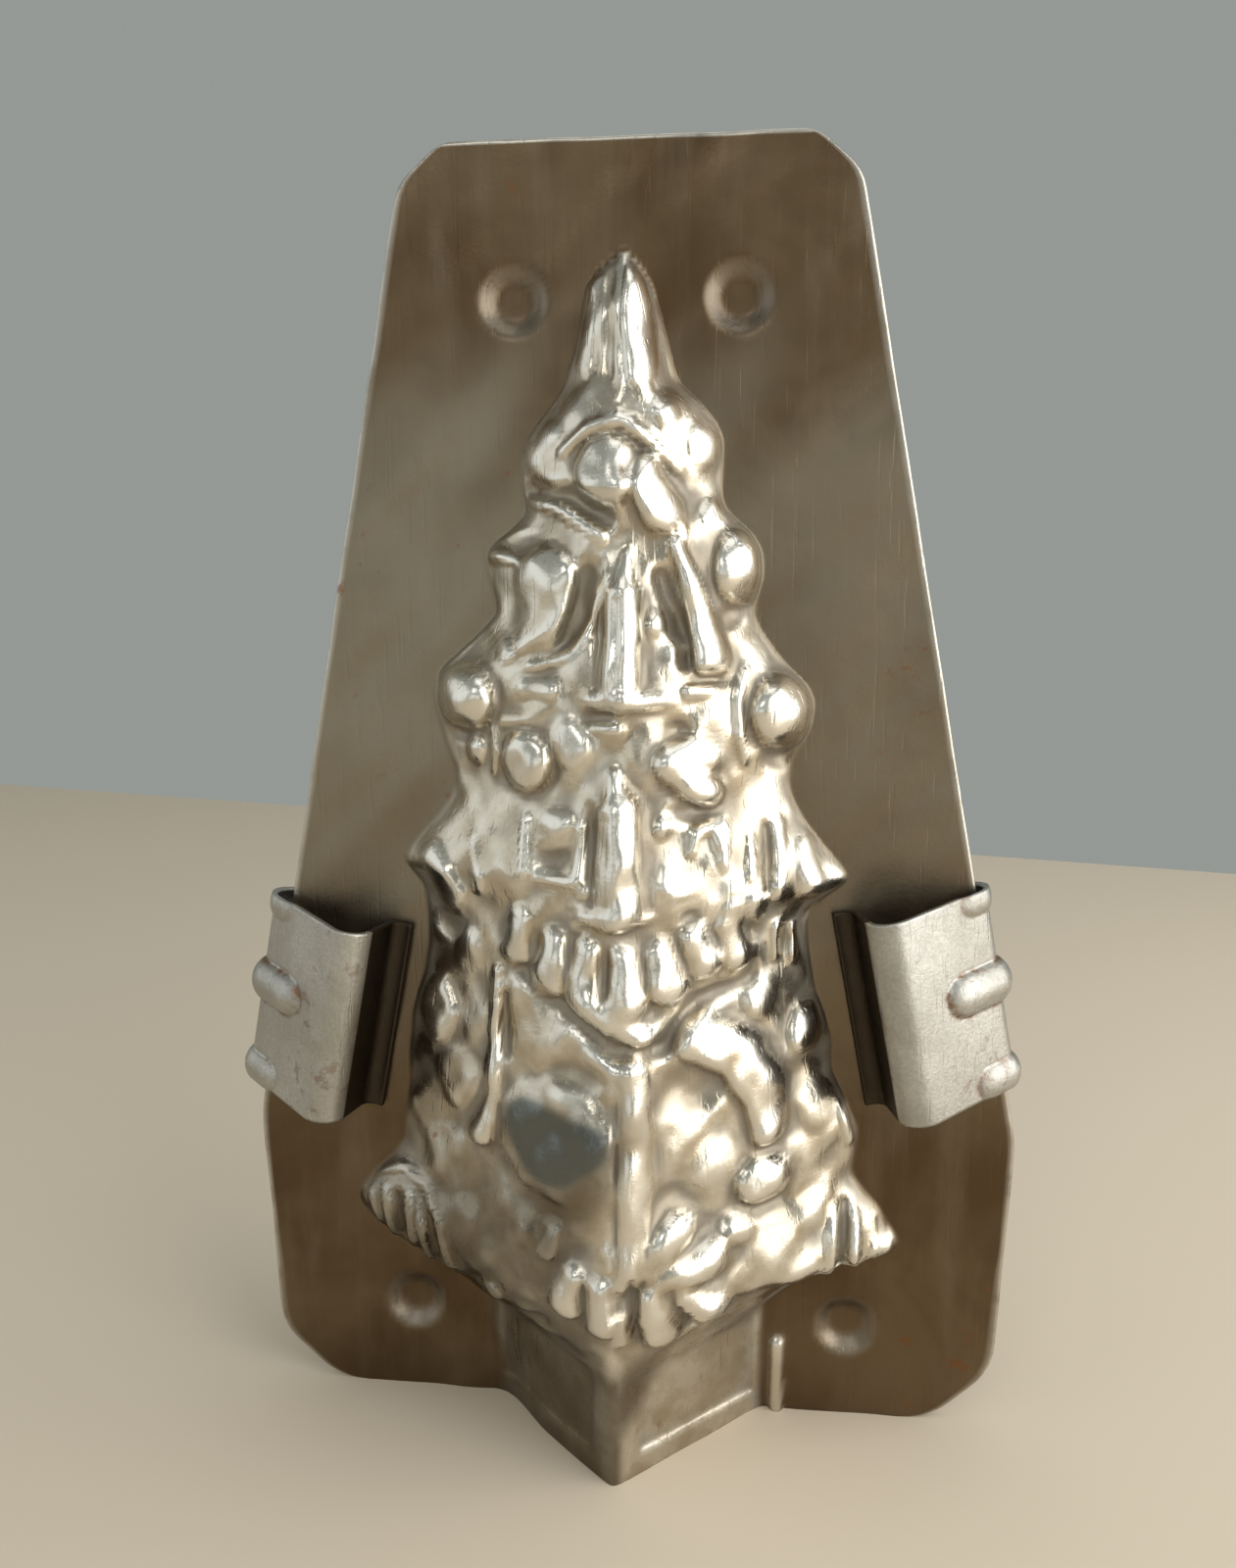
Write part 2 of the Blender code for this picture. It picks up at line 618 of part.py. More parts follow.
def main():
    for old in list(bpy.data.objects):
        bpy.data.objects.remove(old)
    parts = bpy.data.collections.new(COLLECTION)
    bpy.context.scene.collection.children.link(parts)
    for name, facing in (("front_half", -1), ("back_half", 1)):
        give_metal(make_half(name, facing), TIN_COLOUR, TIN_ROUGHNESS)
    for name, side, height, standoff in (
        ("left_clip", -1, LEFT_CLIP_HEIGHT, LEFT_CLIP_STANDOFF),
        ("right_clip", 1, RIGHT_CLIP_HEIGHT, 0.0),
    ):
        give_metal(make_clip(name, side, height, standoff), CLIP_COLOUR, CLIP_ROUGHNESS)


main()
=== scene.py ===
"""Looks of a pressed tin chocolate mold: two sheets with a decorated fir tree, held shut by two spring clips.

Lengths are in millimetres, and MM turns them into Blender's metres. The front half faces -Y.
Each sheet starts as a flat grid, its blank, which is then pressed: every point of the blank moves
to the depth that the tree, its ornaments and the dimples have there.
"""

import math

import bpy
import numpy as np
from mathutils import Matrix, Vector


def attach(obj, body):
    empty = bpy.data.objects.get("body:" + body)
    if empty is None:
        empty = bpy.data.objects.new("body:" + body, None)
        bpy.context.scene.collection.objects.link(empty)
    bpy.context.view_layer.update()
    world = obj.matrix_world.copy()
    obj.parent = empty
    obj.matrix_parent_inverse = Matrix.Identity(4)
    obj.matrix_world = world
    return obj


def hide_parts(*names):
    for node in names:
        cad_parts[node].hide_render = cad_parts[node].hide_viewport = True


MM = 0.001

# Sheet metal
SHEET = 0.55
FLANGE_OUTSIDE = 0.70
CLIP_SHEET = 0.60

# Corners of the flange's right edge, from the foot up: x, z, and how far the round reaches along each side
PLATE_HEIGHT = 135.0
PLATE_CORNERS = (
    (34.1, 0.0, 3.2),
    (40.6, 6.0, 3.2),
    (41.8, 33.0, 2.0),
    (22.8, 131.2, 1.8),
    (18.3, PLATE_HEIGHT, 1.8),
)
CORNER_STEPS = 8

# Foot
FOOT_HEIGHT = 12.5
FOOT_HALF_WIDTH = 15.8
FOOT_RIDGE = 0.03
SKIRT_RISE = 3.0

# Outline of the tree: height, then how far the left and the right edge lie from the middle
TREE_TOP = 124.4
LEFT_EDGE = (
    (12.8, 15.8), (15.2, 20.8), (17.5, 24.3), (18.8, 26.6), (20.7, 29.0), (22.5, 30.6), (24.0, 31.0),
    (26.0, 29.6), (28.3, 27.0), (30.5, 25.6), (34.0, 25.1), (38.0, 24.3), (42.0, 24.2), (46.0, 23.7),
    (50.0, 22.4), (54.0, 21.5), (57.0, 21.6), (60.0, 21.9), (61.5, 23.1), (62.9, 24.4), (64.2, 23.8),
    (67.0, 21.2), (69.5, 19.2), (71.0, 18.5), (73.0, 18.3), (76.0, 19.4), (78.5, 20.1), (81.0, 20.5),
    (83.3, 20.0), (85.3, 17.6), (87.2, 15.4), (89.2, 13.5), (91.0, 13.6), (93.0, 14.3), (95.0, 14.7),
    (96.3, 14.1), (97.4, 12.2), (98.6, 10.9), (100.2, 10.3), (102.0, 10.6), (104.5, 10.9), (106.2, 10.4),
    (108.0, 9.2), (109.8, 7.7), (111.5, 6.4), (115.0, 5.2), (118.0, 4.6), (121.5, 3.9), (123.3, 1.9),
    (TREE_TOP, 0.0),
)
RIGHT_EDGE = (
    (12.8, 15.8), (15.2, 18.4), (17.2, 21.0), (18.8, 24.4), (19.5, 27.2), (20.3, 29.8), (21.3, 30.2),
    (23.0, 29.2), (25.2, 27.8), (27.4, 26.0), (29.0, 24.8), (31.6, 25.1), (34.3, 25.2), (38.5, 23.4),
    (41.0, 22.2), (44.3, 22.2), (46.5, 21.5), (48.6, 20.8), (51.0, 20.0), (54.5, 19.5), (57.6, 19.3),
    (60.0, 21.0), (61.2, 23.0), (62.3, 23.5), (64.0, 22.1), (66.0, 20.4), (68.0, 18.8), (70.3, 17.5),
    (72.0, 17.0), (74.5, 17.3), (77.6, 19.1), (80.3, 19.5), (82.0, 18.8), (84.5, 16.3), (86.5, 14.8),
    (88.3, 13.5), (89.5, 13.2), (91.0, 13.5), (93.0, 14.1), (95.5, 13.9), (97.3, 12.9), (98.7, 11.2),
    (99.7, 10.2), (101.0, 9.8), (104.0, 9.9), (106.5, 9.9), (108.0, 9.3), (109.8, 7.8), (111.8, 5.5),
    (113.5, 4.9), (116.0, 4.3), (118.0, 3.7), (121.0, 2.9), (123.2, 1.3), (TREE_TOP, 0.0),
)

# Depth along the middle of the foot and the tree
MIDDLE_DEPTH = (
    (0.0, 15.0), (12.5, 15.2), (16.0, 16.6), (20.0, 17.2), (26.0, 16.9), (34.0, 16.0), (45.0, 14.8),
    (50.0, 13.6), (60.0, 12.8), (68.0, 11.7), (78.0, 10.4), (83.0, 10.0), (90.0, 8.9), (96.5, 7.6),
    (100.0, 8.0), (106.0, 7.4), (109.0, 6.4), (113.0, 4.9), (120.0, 3.9), (122.8, 2.6), (TREE_TOP, 0.0),
)
# How pointed the cross-section is: 1 is a straight-sided ridge, 2 is round
ROUNDNESS = (
    (12.5, 1.03), (20.0, 1.06), (45.0, 1.15), (55.0, 1.34), (80.0, 1.50), (110.0, 1.60), (TREE_TOP, 1.70),
)
SIDE_FULLNESS = 0.93
RIM_SHARE = 0.05
RIM_POWER = 8
EDGE_FILLET = 0.80
CURVE_SPREAD = 0.45
EDGE_FADE = 0.9
BLEND = 0.45

# Round ornaments and swellings: x, z, half width, half height, rise
DOMES = (
    (-1.2, 103.1, 3.4, 3.5, 2.8), (11.7, 94.0, 2.7, 3.9, 2.3), (-16.2, 80.9, 3.6, 3.6, 3.2),
    (16.2, 79.6, 3.4, 3.9, 2.9), (-9.3, 74.9, 2.9, 3.2, 2.9), (-15.2, 75.6, 1.2, 1.8, 1.3),
    (4.4, 108.7, 1.2, 1.4, 0.8), (2.5, 110.7, 0.8, 1.0, 0.5), (0.0, 100.3, 0.7, 1.2, 0.7),
    (15.0, 31.6, 2.9, 2.9, 2.4), (-20.2, 46.9, 2.6, 3.8, 1.6), (19.3, 46.4, 2.1, 2.8, 1.6),
    (6.0, 86.2, 1.2, 1.1, 0.8), (3.6, 88.6, 0.9, 1.1, 0.7), (-4.7, 77.0, 2.3, 2.6, 1.0),
    (6.8, 75.2, 3.4, 2.6, 1.7), (-6.0, 69.3, 1.9, 1.4, 0.9), (4.7, 69.0, 0.9, 1.1, 0.8),
    (10.2, 68.0, 1.1, 1.7, 0.9), (-2.8, 62.8, 0.9, 0.8, 0.7), (12.3, 27.0, 2.0, 1.8, 1.0),
    (-11.5, 38.2, 1.0, 0.8, 0.7), (11.6, 59.4, 1.4, 2.0, 0.9), (13.8, 60.2, 1.1, 2.0, 0.8),
    (-6.0, 37.0, 6.8, 6.4, 1.5), (-11.3, 90.8, 2.8, 3.8, 1.0), (1.0, 81.3, 4.4, 1.15, 1.6),
    (-0.2, 60.3, 4.1, 1.15, 1.5), (-0.7, 49.2, 0.8, 0.7, 0.6), (-5.8, 50.3, 0.9, 0.8, 0.6),
    (-13.6, 17.9, 1.5, 1.4, 1.2), (-9.3, 19.8, 1.2, 1.0, 0.5), (-7.2, 107.0, 1.4, 1.2, 0.4),
    (8.2, 105.8, 1.9, 2.4, 0.7), (8.8, 99.3, 1.3, 1.6, 0.7), (-17.5, 40.5, 3.0, 3.6, 0.8),
    (20.6, 38.0, 2.2, 2.8, 0.7), (-18.6, 31.5, 3.6, 3.6, 0.7), (20.0, 28.0, 2.6, 3.0, 0.6),
    (9.8, 34.5, 2.6, 2.6, 0.6), (-10.5, 27.5, 3.2, 2.6, 0.5), (14.4, 50.6, 1.8, 2.2, 0.6),
    (-16.2, 54.2, 1.8, 2.6, 0.7),
)

# Long ornaments, ridges and boughs: points (x, z, half width, rise) along each
RIDGES = (
    ((2.3, 103.0, 1.9, 2.2), (4.2, 99.3, 2.2, 2.3)),
    ((-5.9, 105.1, 0.6, 0.7), (-3.0, 107.2, 0.7, 0.9), (0.0, 107.9, 0.8, 1.0), (1.0, 107.6, 0.8, 1.0),
     (2.4, 106.2, 0.7, 1.0), (4.0, 104.8, 0.6, 0.9), (5.4, 103.3, 0.5, 0.7)),
    ((-10.0, 100.7, 0.6, 0.8), (-6.5, 99.8, 0.7, 1.0), (-3.0, 97.8, 0.6, 0.8), (-1.5, 96.8, 0.6, 0.7)),
    ((-3.2, 121.5, 0.8, 0.3), (-3.9, 113.4, 0.9, 0.5)),
    ((1.2, 122.4, 1.1, 0.7), (1.5, 117.0, 1.7, 1.1), (2.0, 112.4, 1.5, 0.8)),
    ((5.6, 100.6, 0.5, 0.5), (6.2, 96.8, 0.6, 0.6)),
    ((-14.2, 95.3, 0.5, 0.9), (-11.0, 94.7, 0.6, 1.1), (-9.4, 93.8, 0.6, 1.2), (-6.9, 92.7, 0.8, 1.6)),
    ((-7.6, 92.4, 3.7, 2.0), (-8.3, 87.3, 2.6, 1.7)),
    ((-0.9, 93.2, 0.5, 0.5), (-2.3, 89.6, 0.5, 0.7), (-3.3, 87.3, 0.5, 0.7), (-4.8, 85.8, 0.6, 0.8),
     (-6.8, 84.9, 0.6, 0.8), (-8.8, 84.6, 0.7, 0.9)),
    ((-13.3, 88.6, 1.0, 0.8), (-11.4, 85.6, 1.1, 0.9)),
    ((-13.6, 89.4, 0.5, 0.6), (-17.0, 85.6, 0.5, 0.7), (-19.6, 83.1, 0.5, 0.6)),
    ((-9.4, 82.3, 1.0, 1.0), (-6.8, 82.4, 1.1, 1.1)),
    ((0.55, 91.2, 1.8, 2.1), (0.5, 82.0, 2.0, 2.4)),
    ((0.9, 95.2, 0.5, 0.8), (0.7, 92.2, 1.2, 1.5)),
    ((-2.3, 78.6, 0.5, 0.6), (0.4, 78.5, 0.5, 0.6)),
    ((5.5, 96.4, 0.7, 1.1), (7.0, 92.2, 1.1, 1.6), (8.1, 88.8, 1.5, 1.9), (9.0, 85.2, 1.9, 2.1)),
    ((6.9, 82.0, 0.55, 0.8), (9.1, 82.1, 0.55, 0.8)),
    ((12.4, 84.2, 0.4, 0.7), (11.7, 81.0, 0.5, 0.8), (12.0, 77.4, 0.5, 0.8), (12.5, 75.0, 0.4, 0.6)),
    ((5.6, 75.0, 2.0, 2.0), (8.7, 72.2, 1.8, 2.3)),
    ((-13.0, 78.2, 0.4, 0.6), (-12.7, 76.0, 0.4, 0.7), (-13.1, 73.4, 0.4, 0.6)),
    ((-12.0, 78.8, 0.5, 0.6), (-9.4, 79.1, 0.5, 0.6)),
    ((0.5, 70.6, 2.1, 2.3), (0.45, 61.3, 2.35, 2.6)),
    ((-0.2, 74.2, 0.5, 0.7), (0.3, 71.8, 1.4, 1.5)),
    ((-4.1, 61.4, 0.4, 0.5), (-1.9, 60.8, 0.4, 0.5)),
    ((-3.9, 59.2, 0.4, 0.5), (-1.3, 58.7, 0.4, 0.5)),
    ((-9.4, 69.2, 0.6, 0.9), (-9.5, 63.8, 0.6, 0.9)),
    ((-3.3, 69.0, 0.5, 0.8), (-3.6, 64.0, 0.5, 0.8)),
    ((-8.3, 63.6, 0.5, 0.8), (-4.0, 63.5, 0.5, 0.8)),
    ((5.0, 64.8, 0.4, 0.5), (4.8, 63.3, 0.5, 0.6), (5.8, 62.4, 0.5, 0.7), (7.0, 62.6, 0.4, 0.5)),
    ((7.4, 66.2, 0.5, 0.6), (8.0, 68.2, 0.6, 0.8), (9.2, 68.8, 0.6, 0.8), (10.5, 67.2, 0.6, 0.8),
     (10.7, 64.8, 0.5, 0.6)),
    ((13.1, 67.6, 0.4, 0.6), (13.3, 63.4, 0.5, 0.7)),
    ((16.0, 68.2, 0.7, 0.6), (16.3, 61.0, 0.9, 0.9)),
    ((18.6, 66.0, 0.9, 0.5), (19.6, 61.6, 1.4, 0.8)),
    ((-20.4, 63.8, 1.5, 0.8), (-18.4, 60.4, 2.1, 1.4)),
    ((-15.4, 66.4, 0.5, 0.4), (-14.6, 61.4, 0.8, 0.6)),
    ((15.9, 57.8, 0.45, 0.7), (15.9, 54.4, 0.5, 0.8)),
    ((17.6, 57.4, 0.45, 0.7), (17.7, 54.0, 0.5, 0.8)),
    ((-10.0, 59.4, 1.2, 1.0), (-10.4, 55.6, 1.7, 1.4)),
    ((-6.1, 57.6, 1.4, 1.2), (-6.9, 53.2, 2.1, 1.9)),
    ((-2.7, 57.2, 1.4, 1.3), (-3.0, 52.4, 2.1, 2.2)),
    ((0.9, 56.4, 1.4, 1.3), (1.5, 52.0, 2.1, 2.2)),
    ((4.4, 56.6, 1.5, 1.3), (5.3, 53.4, 2.2, 2.0)),
    ((7.6, 57.8, 1.4, 1.2), (8.7, 55.4, 2.0, 1.6)),
    ((11.0, 58.4, 1.4, 1.1), (12.2, 55.6, 1.9, 1.5)),
    ((-3.6, 52.0, 1.5, 1.5), (-0.6, 50.4, 1.5, 1.7)),
    ((0.0, 51.4, 1.7, 1.7), (2.7, 48.4, 1.4, 1.8)),
    ((-12.6, 53.2, 0.5, 0.9), (-13.0, 46.0, 0.6, 1.1), (-13.2, 40.0, 0.9, 1.4), (-14.4, 35.6, 1.5, 1.7)),
    ((8.2, 47.6, 2.6, 1.8), (12.4, 45.2, 2.7, 2.2), (14.9, 41.0, 2.5, 2.3), (15.4, 37.2, 2.0, 2.0)),
    ((2.2, 46.5, 1.2, 0.9), (2.4, 40.0, 1.7, 1.4), (2.3, 31.0, 1.8, 1.5), (2.2, 25.0, 1.6, 1.5)),
    ((4.0, 25.2, 1.5, 1.6), (6.2, 28.2, 2.1, 2.0)),
    ((5.0, 24.0, 1.6, 1.8), (9.6, 25.0, 2.3, 2.2)),
    ((4.1, 22.6, 1.5, 1.8), (5.0, 17.8, 2.2, 2.5)),
    ((6.6, 22.6, 1.5, 1.8), (9.6, 19.0, 2.3, 2.5)),
    ((-4.0, 24.0, 1.3, 1.3), (-4.8, 20.8, 1.9, 1.9)),
    ((-1.4, 23.2, 1.3, 1.3), (-1.2, 19.8, 1.8, 1.8)),
    ((1.6, 27.4, 1.2, 1.0), (1.9, 24.6, 1.6, 1.5)),
    ((-6.1, 28.2, 0.9, 0.9), (-6.7, 25.8, 1.2, 1.2)),
    ((-0.6, 27.4, 0.5, 0.5), (0.3, 25.8, 0.6, 0.7)),
    ((1.0, 20.2, 0.7, 0.6), (1.1, 17.4, 0.9, 0.8)),
    ((5.3, 15.5, 0.5, 0.5), (9.9, 16.4, 0.6, 0.7)),
    ((-28.7, 24.8, 0.5, 0.4), (-28.2, 20.6, 0.5, 0.6)),
    ((-27.0, 25.6, 0.5, 0.5), (-26.5, 19.8, 0.5, 0.8)),
    ((-23.6, 26.2, 0.5, 0.6), (-23.5, 19.4, 0.5, 0.9)),
    ((-22.2, 25.6, 0.4, 0.6), (-21.8, 18.4, 0.5, 0.9)),
    ((-28.0, 27.0, 0.5, 0.5), (-25.0, 28.2, 0.5, 0.6), (-21.6, 27.3, 0.5, 0.6), (-19.7, 24.0, 0.5, 0.7),
     (-18.9, 18.8, 0.5, 0.8)),
    ((22.6, 26.4, 0.5, 0.7), (22.2, 19.0, 0.6, 1.0)),
    ((25.0, 25.2, 0.5, 0.8), (25.0, 19.0, 0.6, 1.1)),
    ((27.0, 24.6, 0.4, 0.3), (27.3, 20.0, 0.4, 0.4)),
    ((29.0, 22.6, 0.5, 0.4), (28.6, 19.8, 0.5, 0.5)),
    ((22.9, 38.6, 0.6, 0.6), (24.5, 33.4, 0.8, 0.9)),
)

# Grooves: points (x, z, half width, depth) along each
GROOVES = (
    ((-2.9, 93.2, 1.5, 0.8), (-3.7, 89.4, 1.8, 1.3), (-5.2, 86.8, 1.7, 1.4), (-8.6, 85.5, 1.4, 1.0)),
    ((-1.3, 121.8, 0.7, 0.25), (-1.2, 112.2, 0.8, 0.45)),
    ((-9.2, 101.7, 1.1, 0.8), (-5.0, 100.8, 1.3, 1.2), (-1.0, 98.5, 1.2, 1.0)),
    ((-1.7, 94.4, 0.6, 0.3), (-1.7, 83.0, 0.6, 0.4)),
    ((0.1, 91.0, 0.45, 0.5), (0.1, 82.4, 0.5, 0.6)),
    ((3.9, 93.2, 1.1, 0.9), (5.5, 89.0, 1.3, 1.3), (6.6, 84.8, 1.2, 1.2)),
    ((-3.0, 79.7, 0.5, 0.6), (-0.6, 79.7, 0.6, 0.7)),
    ((-2.4, 71.4, 0.5, 0.4), (-2.4, 62.4, 0.5, 0.5)),
    ((-0.8, 70.4, 0.45, 0.6), (-0.8, 61.4, 0.5, 0.7)),
    ((-9.6, 53.6, 1.3, 0.9), (-5.6, 50.8, 1.4, 1.2), (0.3, 47.0, 1.4, 1.3), (4.8, 47.0, 1.4, 1.4),
     (8.0, 51.2, 1.4, 1.2), (13.0, 52.6, 1.3, 0.9)),
    ((-11.8, 50.6, 0.8, 0.9), (-11.6, 44.6, 0.8, 0.9)),
    ((0.5, 38.0, 0.6, 0.4), (0.5, 24.6, 0.7, 0.6)),
    ((6.0, 22.6, 0.5, 0.9), (8.0, 16.8, 0.6, 1.2)),
    ((1.9, 24.4, 0.8, 0.9), (2.6, 17.4, 0.8, 1.0)),
    ((-2.6, 23.2, 0.4, 0.6), (-2.6, 19.4, 0.5, 0.7)),
    ((-25.3, 25.2, 0.7, 1.0), (-25.0, 19.8, 0.8, 1.3)),
    ((-20.9, 24.4, 0.7, 1.0), (-20.4, 18.2, 0.8, 1.3)),
    ((23.8, 26.4, 0.7, 1.0), (23.6, 20.0, 0.8, 1.4)),
    ((-8.0, 16.0, 1.2, 0.8), (-12.0, 15.4, 1.0, 0.6)),
    ((13.2, 58.0, 0.6, 0.5), (13.6, 53.6, 0.6, 0.6)),
    ((14.6, 68.0, 0.6, 0.6), (14.9, 62.0, 0.7, 0.7)),
)

# Hollows: x, z, half width, half height, depth
HOLLOWS = (
    (-0.9, 104.4, 5.0, 3.2, 1.5), (4.2, 102.0, 2.6, 3.0, 0.9), (-10.4, 96.3, 2.8, 1.3, 1.0),
    (-8.0, 82.7, 3.6, 2.0, 0.7),
    (8.4, 83.2, 2.8, 0.9, 1.0), (7.5, 70.2, 3.4, 1.6, 1.2), (6.0, 78.2, 1.8, 1.6, 0.8),
    (-9.3, 74.4, 4.2, 4.4, 0.9), (-6.2, 65.7, 2.5, 1.9, 1.0), (7.2, 60.0, 1.5, 1.1, 0.6),
    (16.7, 55.9, 1.0, 1.8, 0.4), (7.2, 42.6, 4.6, 3.6, 1.1), (14.8, 28.8, 3.4, 1.8, 0.8),
    (-16.4, 77.2, 3.2, 1.4, 0.8), (16.4, 75.0, 3.0, 1.6, 0.8), (-2.2, 26.6, 2.4, 2.0, 0.6),
    (6.4, 31.6, 3.4, 2.0, 0.6), (-18.6, 56.4, 2.6, 1.8, 0.8), (-3.4, 44.4, 4.4, 1.8, 0.7),
    (10.8, 89.0, 1.6, 1.6, 0.7), (19.8, 58.4, 2.0, 1.4, 0.8), (2.6, 107.8, 1.8, 0.9, 0.4),
)

# Panels sunk in the foot's two walls, and the bead beside its right wall
PANEL_INNER, PANEL_OUTER = 2.0, 13.9
PANEL_BOTTOM, PANEL_TOP = 2.1, 11.4
PANEL_DEPTH = 0.55
PANEL_SOFTNESS = 0.7
SIDE_BEAD = ((16.9, -1.0, 0.8, 0.8), (16.9, 8.2, 0.8, 0.8))
LEFT_SWEEP = 2.6
LEFT_SWEEP_TOP = 9.0

# Nesting dimples: x, z, pressed towards the back in both halves
DIMPLES = ((-11.2, 120.0), (11.2, 120.0), (-24.5, 10.6), (24.5, 10.6))
DIMPLE_RADIUS = 3.7
DIMPLE_FLAT = 1.7
DIMPLE_DEPTH = 1.35

# Sheared edge of the plate, rounded by the cut, and painted bright there, partly as wear and partly as a
# highlight
EDGE_ROUND = 0.30
EDGE_WEAR_AND_HIGHLIGHT = 0.55
EDGE_POINTS = (0.42, 0.28, 0.17, 0.08, 0.02, 0.0)

# Painted reflection on the flange: the height band where it is painted paler, and how much less at the right
PALE_BAND = (30.0, 78.0, 98.0, 120.0)
PALE_SIDES = (-20.0, 20.0)
PALE_LOSS = 0.35
DIMPLE_WEAR_AND_HIGHLIGHT = 1.2

# Tarnish and painted shade of the relief, darker low on the left and on the foot's left wall: where it fades
# upwards and to the right, and how high ornaments are that stay clean
SHADE_AND_TARNISH_TOP = (18.0, 52.0)
SHADE_AND_TARNISH_RIGHT = (-5.0, 5.0)
SHADE_AND_TARNISH_BASE = 0.10
FOOT_DARK_SIDE = (0.4, 1.6)
FOOT_SHADE_AND_TARNISH = 0.35
HANDLED_RISE = (1.1, 1.8)
RAISED_FROM, RAISED_TO = 0.02, 0.6

# Painted reflection, a blue-grey patch low on the tree: x, z, half width, half height
REFLECTION_PATCH = (-6.2, 37.0, 6.2, 4.4)
REFLECTION_PATCH_FADE = (0.78, 1.06)
PATCH_WAVES = ((0.08, 9.0, 14.0, 0.2), (0.06, -11.0, 7.0, 1.0))

# Grid of each pressed sheet
TREE_COLUMNS = 108
FLANGE_COLUMNS = 41
NARROWEST_GUIDE = 3.2
TOP_GUIDE = 11.0
EDGE_CROWDING = 0.25
FLANGE_CROWDING = 1.05
ROW_STEPS = (
    (0.0, 0.14), (1.0, 0.42), (12.0, 0.50), (15.0, 0.44), (30.0, 0.50), (122.0, 0.54), (126.0, 0.85),
    (130.0, 0.85), (132.0, 0.55), (134.5, 0.20), (PLATE_HEIGHT, 0.06),
)

# Sheet that isn't quite flat: long and short waves
WAVES = ((0.09, 41.0, 17.0, 0.4), (0.06, -13.0, 29.0, 2.1), (0.04, 9.5, -11.0, 4.0), (0.03, -7.1, 6.3, 1.3))
RELIEF_WAVES = (
    (0.14, 7.9, 11.3, 0.7), (0.12, -9.1, 6.7, 2.9), (0.08, 4.3, -5.1, 5.2), (0.06, -3.7, -4.9, 1.1),
)
PAINTED_LIGHT_WAVES = ((4.0, 23.0, -31.0, 0.3), (2.5, -12.0, 15.0, 1.9))
HOLLOW_RINGS = (1.1, 2.2)
RING_POINTS = 8
HOLLOW_RANGE = 0.9

# Camera, fitted to the photograph
CAMERA_PLACE = (13.22, -128.73, 94.23)
CAMERA_TARGET = (-0.91, 0.0, 71.4)
CAMERA_ROLL = -0.15
CAMERA_LENS = 28.58
SENSOR = 36.0
FLOOR_EDGE = ((-315.0, 377.0), (161.0, 262.0))


def soft_curve(points, spread=CURVE_SPREAD):
    """A curve through (height, value) points with its corners softened, as arrays for interpolation."""
    step = 0.1
    heights = np.arange(0.0, PLATE_HEIGHT + step, step)
    values = np.interp(heights, *zip(*points))
    reach = int(4 * spread / step)
    weights = np.exp(-0.5 * (np.arange(-reach, reach + 1) * step / spread) ** 2)
    padded = np.pad(values, reach, mode="edge")
    return heights, np.convolve(padded, weights / weights.sum(), mode="valid")


LEFT_CURVE = soft_curve(LEFT_EDGE)
RIGHT_CURVE = soft_curve(RIGHT_EDGE)
DEPTH_CURVE = soft_curve(MIDDLE_DEPTH, 1.2)


def smooth_step(value, low, high):
    """0 below low, 1 above high, with a smooth rise between."""
    share = np.clip((value - low) / (high - low), 0.0, 1.0)
    return share * share * (3.0 - 2.0 * share)


def smooth_max(first, second, blend):
    """The higher of two surfaces, with a small fillet where they meet."""
    return np.maximum(first, second) + np.clip(blend - np.abs(first - second), 0.0, None) ** 2 / (4.0 * blend)


def tree_edge(x, z):
    """Distance from the middle to the tree's edge, on the side where x is."""
    return np.where(x < 0.0, np.interp(z, *LEFT_CURVE), np.interp(z, *RIGHT_CURVE))


def plate_edge():
    """Right edge of the flange with its corners rounded, as arrays (height, x)."""
    corners = [Vector((x, z)) for x, z, _ in PLATE_CORNERS]
    chain = [Vector((0.0, 0.0)), *corners, Vector((0.0, PLATE_HEIGHT))]
    points = []
    for before, here, after, (_, _, reach) in zip(chain, corners, chain[2:], PLATE_CORNERS):
        start = here + (before - here).normalized() * reach
        end = here + (after - here).normalized() * reach
        for step in range(CORNER_STEPS + 1):
            share = step / CORNER_STEPS
            points.append(start.lerp(here, share).lerp(here.lerp(end, share), share))
    return [point.y for point in points], [point.x for point in points]


def stroke(x, z, points):
    """How far (x, z) is from a line with a changing half width, as a share of it, and the height there."""
    nearest = np.full(x.shape, np.inf)
    height = np.zeros(x.shape)
    for (x1, z1, wide1, high1), (x2, z2, wide2, high2) in zip(points, points[1:]):
        square = (x2 - x1) ** 2 + (z2 - z1) ** 2
        along = np.clip(((x - x1) * (x2 - x1) + (z - z1) * (z2 - z1)) / square, 0.0, 1.0)
        away = np.hypot(x - x1 - along * (x2 - x1), z - z1 - along * (z2 - z1))
        share = away / (wide1 + (wide2 - wide1) * along)
        closer = share < nearest
        nearest = np.where(closer, share, nearest)
        height = np.where(closer, high1 + (high2 - high1) * along, height)
    return nearest, height


def round_top(share, height):
    """Height of a round form at a share of its half width. Past its edge it runs on downwards."""
    return height * (np.sqrt(np.clip(1.0 - share**2, 0.0, None)) - np.clip(share - 1.0, 0.0, 1.0))


def ornaments(x, z):
    """Height of everything that hangs on the tree, above the body's own surface."""
    found = np.zeros(x.shape)
    for middle_x, middle_z, wide, tall, rise in DOMES:
        share = np.hypot((x - middle_x) / wide, (z - middle_z) / tall)
        found = smooth_max(found, round_top(share, rise), BLEND)
    for points in RIDGES:
        found = smooth_max(found, round_top(*stroke(x, z, points)), BLEND)
    return found


